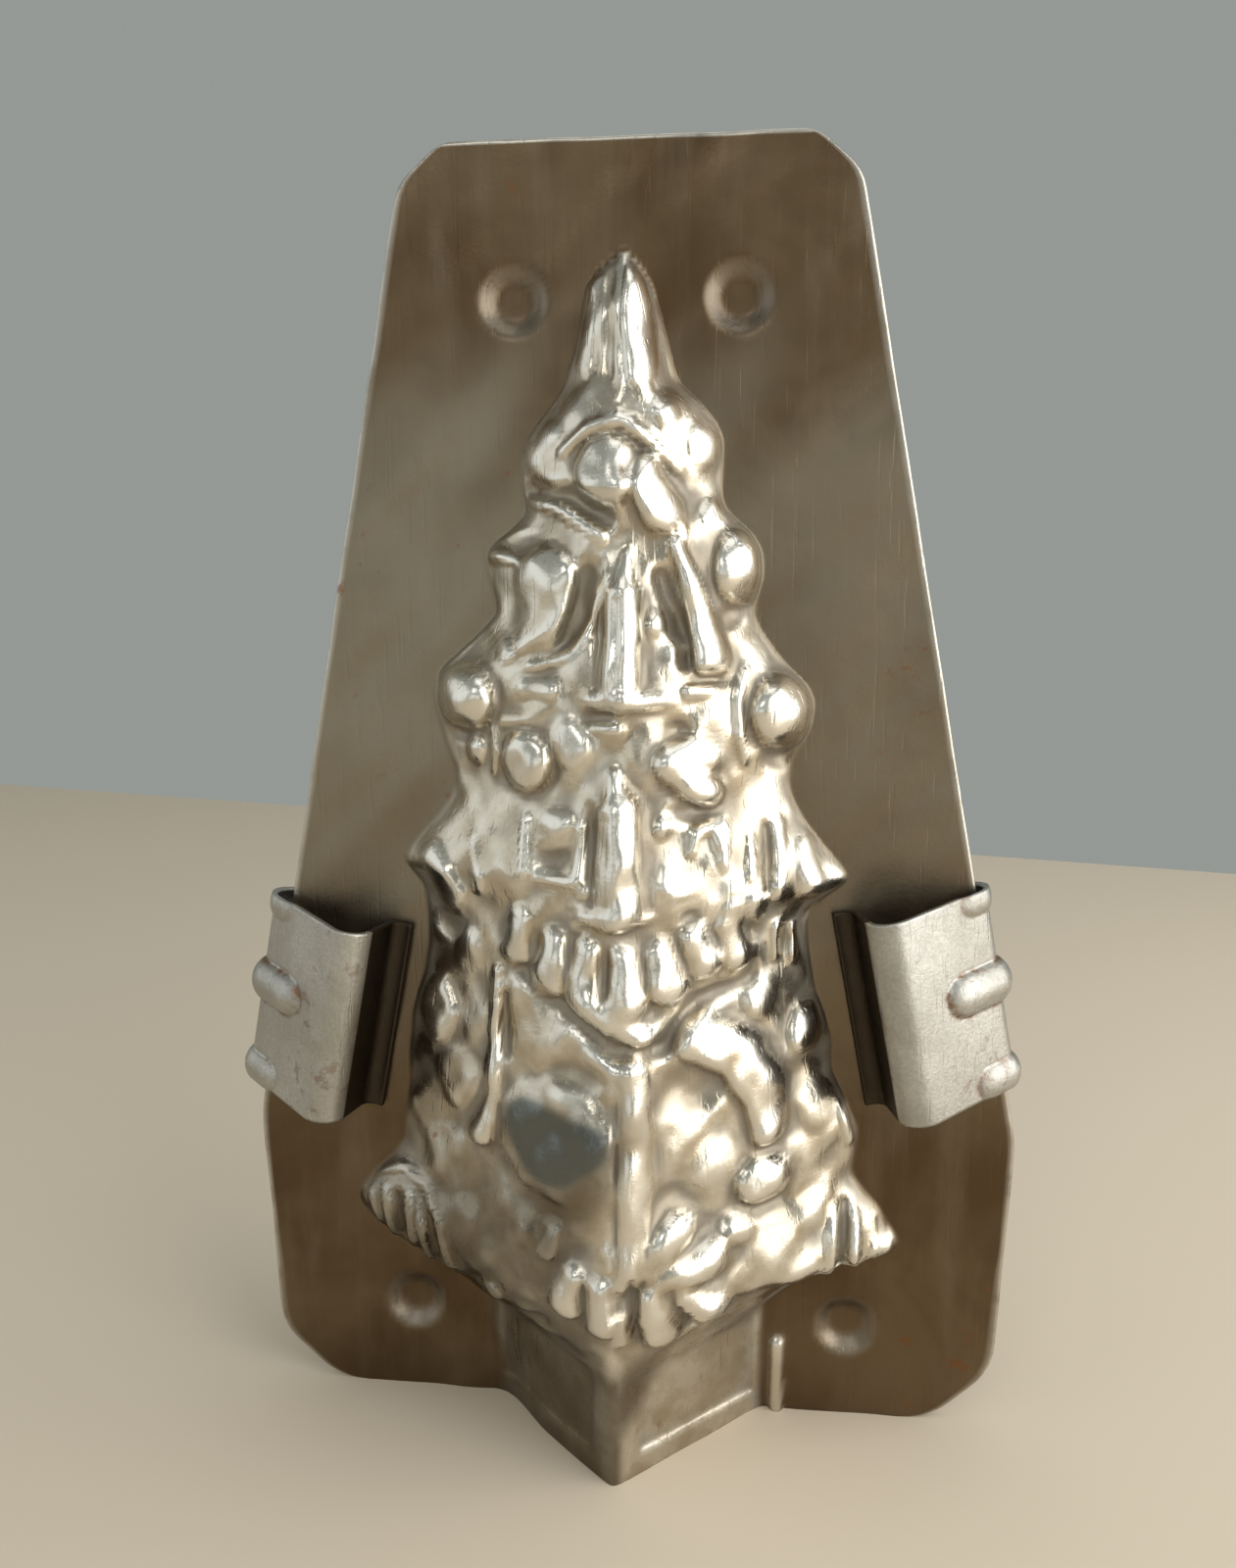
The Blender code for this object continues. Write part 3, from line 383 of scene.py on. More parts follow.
def hollows(x, z):
    """Depth of the grooves and hollows in the body."""
    found = np.zeros(x.shape)
    for middle_x, middle_z, wide, tall, depth in HOLLOWS:
        share = np.hypot((x - middle_x) / wide, (z - middle_z) / tall)
        found = np.maximum(found, depth * np.clip(1.0 - share**2, 0.0, None) ** 1.5)
    for points in GROOVES:
        share, depth = stroke(x, z, points)
        found = np.maximum(found, depth * np.clip(1.0 - share**2, 0.0, None) ** 1.5)
    return found


def waves(x, z, table):
    """Sum of slow waves across the sheet."""
    return sum(size * np.sin(x / long_x * math.tau + z / long_z * math.tau + shift)
               for size, long_x, long_z, shift in table)


def foot_panel(x, z):
    """Depth of the sunk panel in each wall of the foot."""
    across = smooth_step(np.abs(x), PANEL_INNER, PANEL_INNER + PANEL_SOFTNESS)
    across = across * (1.0 - smooth_step(np.abs(x), PANEL_OUTER, PANEL_OUTER + PANEL_SOFTNESS))
    upright = smooth_step(z, PANEL_BOTTOM, PANEL_BOTTOM + PANEL_SOFTNESS)
    upright = upright * (1.0 - smooth_step(z, PANEL_TOP, PANEL_TOP + PANEL_SOFTNESS))
    return PANEL_DEPTH * across * upright


def relief(x, z):
    """Height of the foot, the tree and the ornaments above the flange."""
    edge = np.maximum(tree_edge(x, z), 0.01)
    side = np.clip(np.abs(x) / edge, 0.0, 1.0)
    foot_fall = math.sqrt(1.0 + FOOT_RIDGE**2) - FOOT_RIDGE
    foot = 1.0 - (np.sqrt(side**2 + FOOT_RIDGE**2) - FOOT_RIDGE) / foot_fall
    roundness = np.interp(z, *zip(*ROUNDNESS))
    crown = (1.0 - RIM_SHARE) * (1.0 - side**roundness) ** SIDE_FULLNESS
    crown = crown + RIM_SHARE * np.sqrt(1.0 - side**RIM_POWER)
    on_tree = smooth_step(z, FOOT_HEIGHT, FOOT_HEIGHT + SKIRT_RISE)
    depth = np.where(z < TREE_TOP, np.interp(z, *DEPTH_CURVE), 0.0)
    body = depth * ((1.0 - on_tree) * foot + on_tree * crown) - (1.0 - on_tree) * foot_panel(x, z)
    fade = smooth_step((1.0 - side) * edge, 0.0, EDGE_FADE)
    detail = ornaments(x, z) - hollows(x, z) + waves(x, z, RELIEF_WAVES)
    body = np.clip(body + on_tree * fade * np.where(z < TREE_TOP, detail, 0.0), 0.0, None)
    sweep = np.where(x < 0.0, 1.0 - smooth_step(z, 0.0, LEFT_SWEEP_TOP), 0.0)
    fillet = EDGE_FILLET + LEFT_SWEEP * sweep * smooth_step(-x, FOOT_HALF_WIDTH / 2.0, FOOT_HALF_WIDTH)
    body = np.sqrt(body**2 + fillet**2) - fillet
    bead = np.clip(round_top(*stroke(x, z, SIDE_BEAD)), 0.0, None)
    return np.maximum(body, bead)


def dimples(x, z):
    """How far into a nesting dimple each point lies, from 0 on the flange to 1 on the dimple's floor."""
    found = np.zeros(x.shape)
    for middle_x, middle_z in DIMPLES:
        away = np.hypot(x - middle_x, z - middle_z)
        straight = np.clip((DIMPLE_RADIUS - away) / (DIMPLE_RADIUS - DIMPLE_FLAT), 0.0, 1.0)
        found = np.maximum(found, 0.5 * straight + 0.5 * smooth_step(straight, 0.0, 1.0))
    return found


def edge_distance(x, z):
    """Distance from the plate's sheared edge, at its sides and its top."""
    return np.clip(np.minimum(np.interp(z, *plate_edge()) - np.abs(x), PLATE_HEIGHT - z), 0.0, None)


def edge_round(x, z):
    """How far the sheet turns back at its sheared edge."""
    inside = np.clip(EDGE_ROUND - edge_distance(x, z), 0.0, None)
    return EDGE_ROUND - np.sqrt(EDGE_ROUND**2 - inside**2)


def row_heights():
    """Heights of the sheet's rows, closer together where its outline turns."""
    heights = [0.0]
    while heights[-1] < PLATE_HEIGHT:
        heights.append(heights[-1] + float(np.interp(heights[-1], *zip(*ROW_STEPS))))
    return np.array(heights) * PLATE_HEIGHT / heights[-1]


def blank_points():
    """Places (x, z) of the flat blank's points, in rows that follow the tree's edge and the flange's."""
    heights = row_heights()
    even = np.linspace(-1.0, 1.0, TREE_COLUMNS + 1)
    tree_shares = (1.0 + EDGE_CROWDING) * even - EDGE_CROWDING * even**3
    outer_shares = np.linspace(0.0, 1.0, FLANGE_COLUMNS + 1)[1:] ** FLANGE_CROWDING
    plate = np.interp(heights, *plate_edge())
    guide = np.maximum(NARROWEST_GUIDE, (heights - TREE_TOP) / (PLATE_HEIGHT - TREE_TOP) * TOP_GUIDE)
    left = np.maximum(np.interp(heights, *LEFT_CURVE), guide)[:, None]
    right = np.maximum(np.interp(heights, *RIGHT_CURVE), guide)[:, None]
    plate = plate[:, None]
    tree = np.where(tree_shares < 0.0, tree_shares * left, tree_shares * right)
    rim = plate - np.array(EDGE_POINTS)
    outer_left = left + (rim[:, :1] - left) * outer_shares
    outer_right = right + (rim[:, :1] - right) * outer_shares
    x = np.hstack([-rim[:, :0:-1], -outer_left[:, ::-1], tree, outer_right, rim[:, 1:]])
    return x, np.repeat(heights[:, None], x.shape[1], axis=1)


def hollow_mask(x, z):
    """How deep each point lies below what is round it: above 0 in a hollow, below 0 on a high spot."""
    here = relief(x, z)
    found = np.zeros(x.shape)
    for ring in HOLLOW_RINGS:
        for number in range(RING_POINTS):
            turn = math.tau * number / RING_POINTS
            found += relief(x + ring * math.cos(turn), np.clip(z + ring * math.sin(turn), 0.0, PLATE_HEIGHT))
    return np.clip((found / (len(HOLLOW_RINGS) * RING_POINTS) - here) / HOLLOW_RANGE, -1.0, 1.0)


def shade_and_tarnish_mask(x, z):
    """Where the relief is darkened, partly tarnish and partly painted shade: low on the left, and on the
    foot, most on its left wall.
    """
    low = 1.0 - smooth_step(z + waves(x, z, PAINTED_LIGHT_WAVES), *SHADE_AND_TARNISH_TOP)
    left = 1.0 - smooth_step(x + waves(x, z, PAINTED_LIGHT_WAVES), *SHADE_AND_TARNISH_RIGHT)
    foot = 1.0 - smooth_step(z, FOOT_HEIGHT - 1.0, FOOT_HEIGHT + SKIRT_RISE)
    foot_left = 1.0 - smooth_step(x, *FOOT_DARK_SIDE)
    handled = smooth_step(ornaments(x, z), *HANDLED_RISE)
    tree = low * (SHADE_AND_TARNISH_BASE + (1.0 - SHADE_AND_TARNISH_BASE) * left) * (1.0 - handled)
    return np.maximum(tree, foot * (FOOT_SHADE_AND_TARNISH + (1.0 - FOOT_SHADE_AND_TARNISH) * foot_left))


def painted_reflection_mask(x, z):
    """Where the flange is painted paler and greyer as a reflection: across the middle, and most at the left.
    """
    height = z + waves(x, z, PAINTED_LIGHT_WAVES)
    low, start, end, high = PALE_BAND
    band = smooth_step(height, low, start) * (1.0 - smooth_step(height, end, high))
    return band * (1.0 - PALE_LOSS * smooth_step(x, *PALE_SIDES))


def wear_and_highlight_mask(x, z):
    """Where the flange is painted bright, partly rubbed wear and partly a painted highlight: along the
    sheared edge, and on the walls of the dimples.
    """
    edge = 1.0 - smooth_step(edge_distance(x, z), EDGE_ROUND, EDGE_WEAR_AND_HIGHLIGHT)
    inside = dimples(x, z)
    return np.maximum(edge, DIMPLE_WEAR_AND_HIGHLIGHT * inside * (1.0 - inside))


def reflection_patch_mask(x, z):
    """The blue-grey patch low on the tree, a painted reflection."""
    middle_x, middle_z, wide, tall = REFLECTION_PATCH
    share = np.hypot((x - middle_x) / wide, (z - middle_z) / tall) + waves(x, z, PATCH_WAVES)
    return 1.0 - smooth_step(share, *REFLECTION_PATCH_FADE)


def cut_blank(name, columns, rows):
    """A flat grid of sheet metal, ready to be pressed or bent."""
    bpy.ops.mesh.primitive_grid_add(x_subdivisions=columns, y_subdivisions=rows, size=2.0)
    blank = bpy.context.active_object
    blank.name = blank.data.name = name
    bpy.ops.object.shade_smooth()
    return blank


def place_points(blank, points):
    """Moves the blank's points, given in millimetres."""
    flat = np.asarray(points, float).reshape(-1, 3) * MM
    blank.data.vertices.foreach_set("co", flat.ravel())
    blank.data.update()


def add_mask(blank, name, values):
    """Stores one value for each point, for the material to read."""
    mask = blank.data.attributes.new(name, "FLOAT", "POINT")
    mask.data.foreach_set("value", np.asarray(values, np.float32).ravel())


def give_wall(sheet, thickness, offset, rim_material):
    """Gives an open sheet its thickness."""
    wall = sheet.modifiers.new("wall", "SOLIDIFY")
    wall.thickness = thickness * MM
    wall.offset = offset
    wall.material_offset_rim = rim_material
    bpy.context.view_layer.objects.active = sheet
    bpy.ops.object.modifier_apply(modifier=wall.name)


def turn_outwards(sheet, outwards):
    """Flips the sheet's faces if they point the wrong way."""
    middle = sum((Vector(face.normal) * face.area for face in sheet.data.polygons), Vector())
    if middle.dot(Vector(outwards)) < 0.0:
        sheet.data.flip_normals()


def press_half(name, facing, x, z, hollow):
    """Presses one half. facing is -1 for the front half and 1 for the back half."""
    half = cut_blank(name, x.shape[1] - 1, x.shape[0] - 1)
    height = relief(x, z)
    y = facing * (FLANGE_OUTSIDE + height - edge_round(x, z))
    y = y + DIMPLE_DEPTH * dimples(x, z) + waves(x, z, WAVES)
    place_points(half, np.dstack([x, y, z]))
    add_mask(half, "hollow", hollow)
    add_mask(half, "raised", smooth_step(height, RAISED_FROM, RAISED_TO))
    add_mask(half, "shade_and_tarnish", shade_and_tarnish_mask(x, z))
    add_mask(half, "painted_reflection", painted_reflection_mask(x, z))
    add_mask(half, "wear_and_highlight", wear_and_highlight_mask(x, z))
    add_mask(half, "painted_reflection_patch", reflection_patch_mask(x, z))
    turn_outwards(half, (0.0, facing, 0.0))
    return half


# Spring clips: a strip bent round the flange's edge
CLIP_LENGTH = 21.4
CLIP_DEPTH = 8.6
CLIP_PLAY = 0.30
FOLD_RADIUS = 1.8
ROLL_RADIUS = 2.2
HEEL_RADIUS = 1.6
LIP_RADIUS = 2.5
LEAF_ANGLE = 38.0
RETURN_ANGLE = 12.0
LIP_ANGLE = 20.0
CLIP_POINT_GAP = 0.28
CLIP_COLUMNS = 84
LEFT_CLIP_HEIGHT = 47.9
LEFT_CLIP_STANDOFF = 1.0
RIGHT_CLIP_HEIGHT = 50.6
BEADS = ((-9.3, 1.6, 4.2, 0.75), (0.8, 2.1, 6.0, 1.25), (9.9, 1.4, 3.0, 0.45))
BEAD_FULLNESS = 0.7
CREASE_WIDTH = 0.28
ROLL_SHADOW, RETURN_SHADOW = 0.7, -0.6
CLIP_INSIDE = 4.0
EDGE_LEAN = math.atan2(PLATE_CORNERS[2][0] - PLATE_CORNERS[3][0], PLATE_CORNERS[3][1] - PLATE_CORNERS[2][1])


def arc(middle, radius, start, end):
    """Points along an arc between two angles in radians."""
    steps = max(4, round(abs(end - start) * radius / CLIP_POINT_GAP))
    points = []
    for turn in np.linspace(start, end, steps + 1):
        points.append(Vector((middle[0] + radius * math.cos(turn), middle[1] + radius * math.sin(turn))))
    return points


def leaf_profile():
    """Middle line of one leaf, from the fold to the lip, as points (run inwards, depth)."""
    quarter = math.pi / 2.0
    leaf, back, flare = (math.radians(angle) for angle in (LEAF_ANGLE, RETURN_ANGLE, LIP_ANGLE))
    grip = FLANGE_OUTSIDE + CLIP_PLAY + CLIP_SHEET / 2.0
    fold = arc((FOLD_RADIUS, 0.0), FOLD_RADIUS, 2.0 * quarter, quarter + leaf)
    roll_depth = CLIP_DEPTH - CLIP_SHEET / 2.0 - ROLL_RADIUS
    leaf_top = roll_depth + ROLL_RADIUS * math.cos(leaf)
    roll_run = fold[-1].x + (leaf_top - fold[-1].y) / math.tan(leaf) + ROLL_RADIUS * math.sin(leaf)
    roll = arc((roll_run, roll_depth), ROLL_RADIUS, quarter + leaf, back)
    heel_depth = grip + HEEL_RADIUS
    heel_top = heel_depth - HEEL_RADIUS * math.sin(back)
    heel_run = roll[-1].x + (roll[-1].y - heel_top) * math.tan(back) + HEEL_RADIUS * math.cos(back)
    heel = arc((heel_run, heel_depth), HEEL_RADIUS, 2.0 * quarter + back, 3.0 * quarter)
    lip = arc((heel_run, grip + LIP_RADIUS), LIP_RADIUS, -quarter, -quarter + flare)
    points = list(fold)
    for part in (roll, heel, lip[1:]):
        steps = max(1, round((part[0] - points[-1]).length / CLIP_POINT_GAP))
        start = points[-1]
        points += [start.lerp(part[0], step / steps) for step in range(1, steps)]
        points += part
    return points, (roll[-1].x, roll[-1].y)


def bead_swell(run, along):
    """How far the stiffening beads lift the strip, and how near the place is to a bead's crease."""
    found, crease = 0.0, 0.0
    for place, half_width, reach, rise in BEADS:
        across = abs(along - place) / half_width
        share = math.hypot(across, max(0.0, run - reach + half_width) / half_width)
        found = max(found, rise * max(0.0, 1.0 - share**2) ** BEAD_FULLNESS)
        crease = max(crease, rise * max(0.0, 1.0 - abs(share - 1.0) / CREASE_WIDTH))
    return found, crease


def bend_clip(name, side, height, standoff):
    """Bends one spring clip on its edge of the flange. side is -1 for the left and 1 for the right."""
    leaf, (roll_run, roll_depth) = leaf_profile()
    section = [Vector((point.x, -point.y)) for point in reversed(leaf[1:])] + leaf
    inward = Vector((-side * math.cos(EDGE_LEAN), 0.0, -math.sin(EDGE_LEAN)))
    upward = Vector((-side * math.sin(EDGE_LEAN), 0.0, math.cos(EDGE_LEAN)))
    inner = FOLD_RADIUS - CLIP_SHEET / 2.0
    seat = FOLD_RADIUS - math.sqrt(inner**2 - FLANGE_OUTSIDE**2) + CLIP_PLAY
    corner_x, corner_z = PLATE_CORNERS[2][:2]
    edge = corner_x - (height - corner_z) * math.tan(EDGE_LEAN)
    place = Vector((side * edge, 0.0, height)) - inward * (seat + standoff)
    clip = cut_blank(name, len(section) - 1, CLIP_COLUMNS)
    points, painted_roll_shade, creases = [], [], []
    for along in np.linspace(-CLIP_LENGTH / 2.0, CLIP_LENGTH / 2.0, CLIP_COLUMNS + 1):
        for number, point in enumerate(section):
            ends = section[max(number - 1, 0)], section[min(number + 1, len(section) - 1)]
            tangent = (ends[1] - ends[0]).normalized()
            swell, crease = bead_swell(point.x, along)
            lifted = point + Vector((-tangent.y, tangent.x)) * swell
            points.append(place + inward * lifted.x + Vector((0.0, lifted.y, 0.0)) + upward * along)
            creases.append(crease)
            # painted shade: the strip past the roll and under it is marked dark
            under_roll = point.x > roll_run + RETURN_SHADOW and abs(point.y) < roll_depth
            painted_roll_shade.append(under_roll or point.x > roll_run + ROLL_SHADOW)
    place_points(clip, points)
    add_mask(clip, "painted_roll_shade", painted_roll_shade)
    add_mask(clip, "crease", creases)
    turn_outwards_from(clip, place + inward * CLIP_INSIDE)
    return clip


def turn_outwards_from(sheet, inside):
    """Flips the strip's faces if they point at the place inside it."""
    inside = Vector(inside) * MM
    facing = sum((face.center - inside).dot(face.normal) * face.area for face in sheet.data.polygons)
    if facing < 0.0:
        sheet.data.flip_normals()


# Colours of the finishes, as linear red, green and blue
DARK_PATINA = (0.105, 0.068, 0.036)
BROWN_PATINA = (0.165, 0.118, 0.070)
# paler grey painted across the flange's middle as a reflection
PALE_REFLECTION = (0.275, 0.240, 0.178)
PATINA_RUNS = (0.225, 0.178, 0.122)
# bright tin on the plate's edge and the dimples' walls, partly wear and partly a painted highlight
RUBBED_HIGHLIGHT_TIN = (0.62, 0.59, 0.52)
DULL_TIN = (0.54, 0.475, 0.370)
CLEAN_TIN = (0.74, 0.695, 0.600)
POLISHED_TIN = (0.82, 0.79, 0.72)
# dark brown low on the left and on the foot, partly tarnish and partly painted shade
SHADED_TARNISHED_TIN = (0.090, 0.066, 0.037)
# blue-grey painted reflection in a patch low on the tree
BLUE_GREY_REFLECTION = (0.150, 0.160, 0.150)
# dark brown in the hollows, partly dirt and partly painted shade
DIRT_AND_SHADE = (0.105, 0.074, 0.042)
TIN_RUST = (0.23, 0.085, 0.025)
# bare metal of the cut edges; the bright one is partly a painted highlight
DULL_EDGE = (0.42, 0.39, 0.33)
BRIGHT_EDGE_HIGHLIGHT = (0.78, 0.77, 0.72)
DULL_STEEL = (0.41, 0.395, 0.355)
PALE_STEEL = (0.54, 0.53, 0.495)
STEEL_GRAIN = (0.30, 0.285, 0.25)
STEEL_RUST = (0.20, 0.10, 0.045)
# painted shade inside the clips' roll and under it
ROLL_SHADE_BROWN = (0.030, 0.018, 0.008)
FLOOR_COLOUR = (0.70, 0.60, 0.47)
BACKDROP_COLOUR = (0.300, 0.320, 0.305)

# Lamps: name, place in metres, width and height, brightness, colour
LAMPS = (
    ("right_softbox", (0.32, -0.12, 0.18), (0.50, 0.44), 2.5, (1.0, 0.99, 0.96)),
    ("left_softbox", (-0.58, -0.14, 0.24), (0.74, 0.46), 0.62, (0.95, 0.98, 1.0)),
    ("front_softbox", (-0.16, -0.62, 0.52), (0.30, 0.22), 2.6, (1.0, 1.0, 1.0)),
    ("window", (-0.18, -1.00, 0.13), (0.90, 0.26), 0.75, (0.97, 1.0, 1.0)),
    ("top_softbox", (0.10, -0.02, 0.70), (0.46, 0.46), 1.1, (1.0, 1.0, 1.0)),
)
LAMP_TARGET = (0.0, 0.0, 0.065)
FLOOR_SIZE = 6000.0


def add_node(tree, kind, sockets=(), **settings):
    """A shader node with its settings and the values of its inputs."""
    made = tree.nodes.new(kind)
    for key, value in settings.items():
        setattr(made, key, value)
    for key, value in dict(sockets).items():
        if isinstance(value, bpy.types.NodeSocket):
            tree.links.new(value, made.inputs[key])
        else:
            made.inputs[key].default_value = value
    return made


def add_noise(tree, vector, scale, detail=3.0, roughness=0.5, distortion=0.0):
    """Value of a noise at a point."""
    sockets = {"Vector": vector, "Scale": scale, "Detail": detail}
    sockets |= {"Roughness": roughness, "Distortion": distortion}
    return add_node(tree, "ShaderNodeTexNoise", sockets).outputs["Fac"]


def add_range(tree, value, low, high, to_low=0.0, to_high=1.0):
    """Maps a value from one range to another, and keeps it there."""
    sockets = {"Value": value, "From Min": low, "From Max": high, "To Min": to_low, "To Max": to_high}
    return add_node(tree, "ShaderNodeMapRange", sockets, interpolation_type="SMOOTHSTEP").outputs["Result"]


def add_math(tree, operation, first, second=0.0):
    """One sum on two values."""
    return add_node(tree, "ShaderNodeMath", {0: first, 1: second}, operation=operation).outputs[0]


def scale_by(tree, first, second):
    """Product of two values."""
    return add_math(tree, "MULTIPLY", first, second)


def add_mix(tree, share, first, second):
    """Mixes two colours."""
    mix = add_node(tree, "ShaderNodeMix", {"Factor": share}, data_type="RGBA")
    for number, colour in ((6, first), (7, second)):
        if isinstance(colour, bpy.types.NodeSocket):
            tree.links.new(colour, mix.inputs[number])
        else:
            mix.inputs[number].default_value = (*colour, 1.0)
    return mix.outputs[2]


def new_group(name, inputs, outputs):
    """An empty node group with a vector input, named number inputs and named outputs."""
    group = bpy.data.node_groups.new(name, "ShaderNodeTree")
    group.interface.new_socket("Vector", in_out="INPUT", socket_type="NodeSocketVector")
    for socket, value in inputs.items():
        made = group.interface.new_socket(socket, in_out="INPUT", socket_type="NodeSocketFloat")
        made.default_value = value
    for socket in outputs:
        group.interface.new_socket(socket, in_out="OUTPUT", socket_type="NodeSocketFloat")
    return group, group.nodes.new("NodeGroupInput").outputs, group.nodes.new("NodeGroupOutput").inputs


def mottling_group():
    """Uneven tarnish: large blotches, small clouds, and runs that hang down."""
    group, given, wanted = new_group("mottling", {"Size": 60.0}, ("Blotches", "Clouds", "Runs"))
    small = add_math(group, "MULTIPLY", given["Size"], 4.3)
    group.links.new(add_noise(group, given["Vector"], given["Size"], 4.0, 0.55, 0.4), wanted["Blotches"])
    group.links.new(add_noise(group, given["Vector"], small, 5.0, 0.6), wanted["Clouds"])
    stretched = add_node(group, "ShaderNodeMapping", {"Vector": given["Vector"], "Scale": (1.0, 1.0, 0.16)})
    group.links.new(add_noise(group, stretched.outputs[0], small, 4.0, 0.6), wanted["Runs"])
    return group


def grain_group():
    """Fine grain of rolled sheet, and the short scratches of handling."""
    group, given, wanted = new_group("sheet grain", {"Fineness": 1800.0}, ("Grain", "Scratches"))
    group.links.new(add_noise(group, given["Vector"], given["Fineness"], 2.0, 0.7), wanted["Grain"])
    marks = []
    for turn, stretch in ((0.5, 0.05), (-0.9, 0.07), (1.4, 0.04)):
        sockets = {"Vector": given["Vector"], "Rotation": (0.0, turn, 0.0), "Scale": (1.0, 1.0, stretch)}
        mapped = add_node(group, "ShaderNodeMapping", sockets).outputs[0]
        lines = add_noise(group, mapped, add_math(group, "MULTIPLY", given["Fineness"], 0.7), 1.0, 0.4)
        marks.append(add_range(group, lines, 0.66, 0.74))
    both = add_math(group, "MAXIMUM", marks[0], marks[1])
    group.links.new(add_math(group, "MAXIMUM", both, marks[2]), wanted["Scratches"])
    return group


def specks_group():
    """Rust in scattered specks."""
    inputs = {"Size": 420.0, "Amount": 0.5}
    group, given, wanted = new_group("rust specks", inputs, ("Specks",))
    where = add_noise(group, given["Vector"], add_math(group, "MULTIPLY", given["Size"], 0.12), 2.0)
    fine = add_noise(group, given["Vector"], given["Size"], 4.0, 0.65)
    spread = add_math(group, "ADD", add_math(group, "MULTIPLY", where, given["Amount"]), fine)
    group.links.new(add_range(group, spread, 0.88, 1.0), wanted["Specks"])
    return group


def start_material(name, colour, roughness):
    """A material with a Principled shader, its object coordinates, and plain values for simple viewers."""
    material = bpy.data.materials.new(name)
    material.use_nodes = True
    tree = material.node_tree
    shader = tree.nodes["Principled BSDF"]
    shader.inputs["Base Color"].default_value = (*colour, 1.0)
    shader.inputs["Roughness"].default_value = roughness
    shader.inputs["Metallic"].default_value = 1.0
    place = add_node(tree, "ShaderNodeTexCoord").outputs["Object"]
    return material, tree, shader, place


def add_group(tree, group, sockets):
    """Places a node group in a material."""
    made = tree.nodes.new("ShaderNodeGroup")
    made.node_tree = group
    for key, value in sockets.items():
        if isinstance(value, bpy.types.NodeSocket):
            tree.links.new(value, made.inputs[key])
        else:
            made.inputs[key].default_value = value
    return made.outputs


def read_mask(tree, name):
    """A value stored on the mesh's points."""
    return add_node(tree, "ShaderNodeAttribute", attribute_name=name).outputs["Fac"]


def flange_finish(tree, mottling):
    """Colour of the flat flange: brown patina, paler across the middle as a painted reflection, bright along
    its edge and in the dimples, partly wear and partly painted highlight.
    """
    blotches = add_range(tree, mottling["Blotches"], 0.32, 0.68)
    flange = add_mix(tree, blotches, DARK_PATINA, BROWN_PATINA)
    uneven = add_range(tree, mottling["Blotches"], 0.2, 0.6, 0.7, 1.0)
    # painted reflection: the flange is mixed paler across its middle
    flange = add_mix(tree, scale_by(tree, read_mask(tree, "painted_reflection"), uneven), flange, PALE_REFLECTION)
    runs = add_range(tree, mottling["Runs"], 0.45, 0.75, 0.0, 0.35)
    flange = add_mix(tree, runs, flange, PATINA_RUNS)
    # painted highlight and wear: the edge and the dimple walls are mixed bright
    patchy = add_range(tree, mottling["Clouds"], 0.25, 0.55, 0.5, 1.0)
    wear_and_highlight = scale_by(tree, read_mask(tree, "wear_and_highlight"), patchy)
    return add_mix(tree, scale_by(tree, wear_and_highlight, 0.8), flange, RUBBED_HIGHLIGHT_TIN), wear_and_highlight


def relief_finish(tree, mottling):
    """Colour of the bare relief, darkened low on the left, partly tarnish and partly painted shade."""
    bare = add_mix(tree, add_range(tree, mottling["Clouds"], 0.35, 0.68), DULL_TIN, CLEAN_TIN)
    uneven = add_range(tree, mottling["Blotches"], 0.25, 0.6, 0.7, 1.0)
    # painted shade and tarnish: darker low on the left and on the foot's left wall
    shade_and_tarnish = scale_by(tree, read_mask(tree, "shade_and_tarnish"), uneven)
    return add_mix(tree, scale_by(tree, shade_and_tarnish, 0.92), bare, SHADED_TARNISHED_TIN), shade_and_tarnish


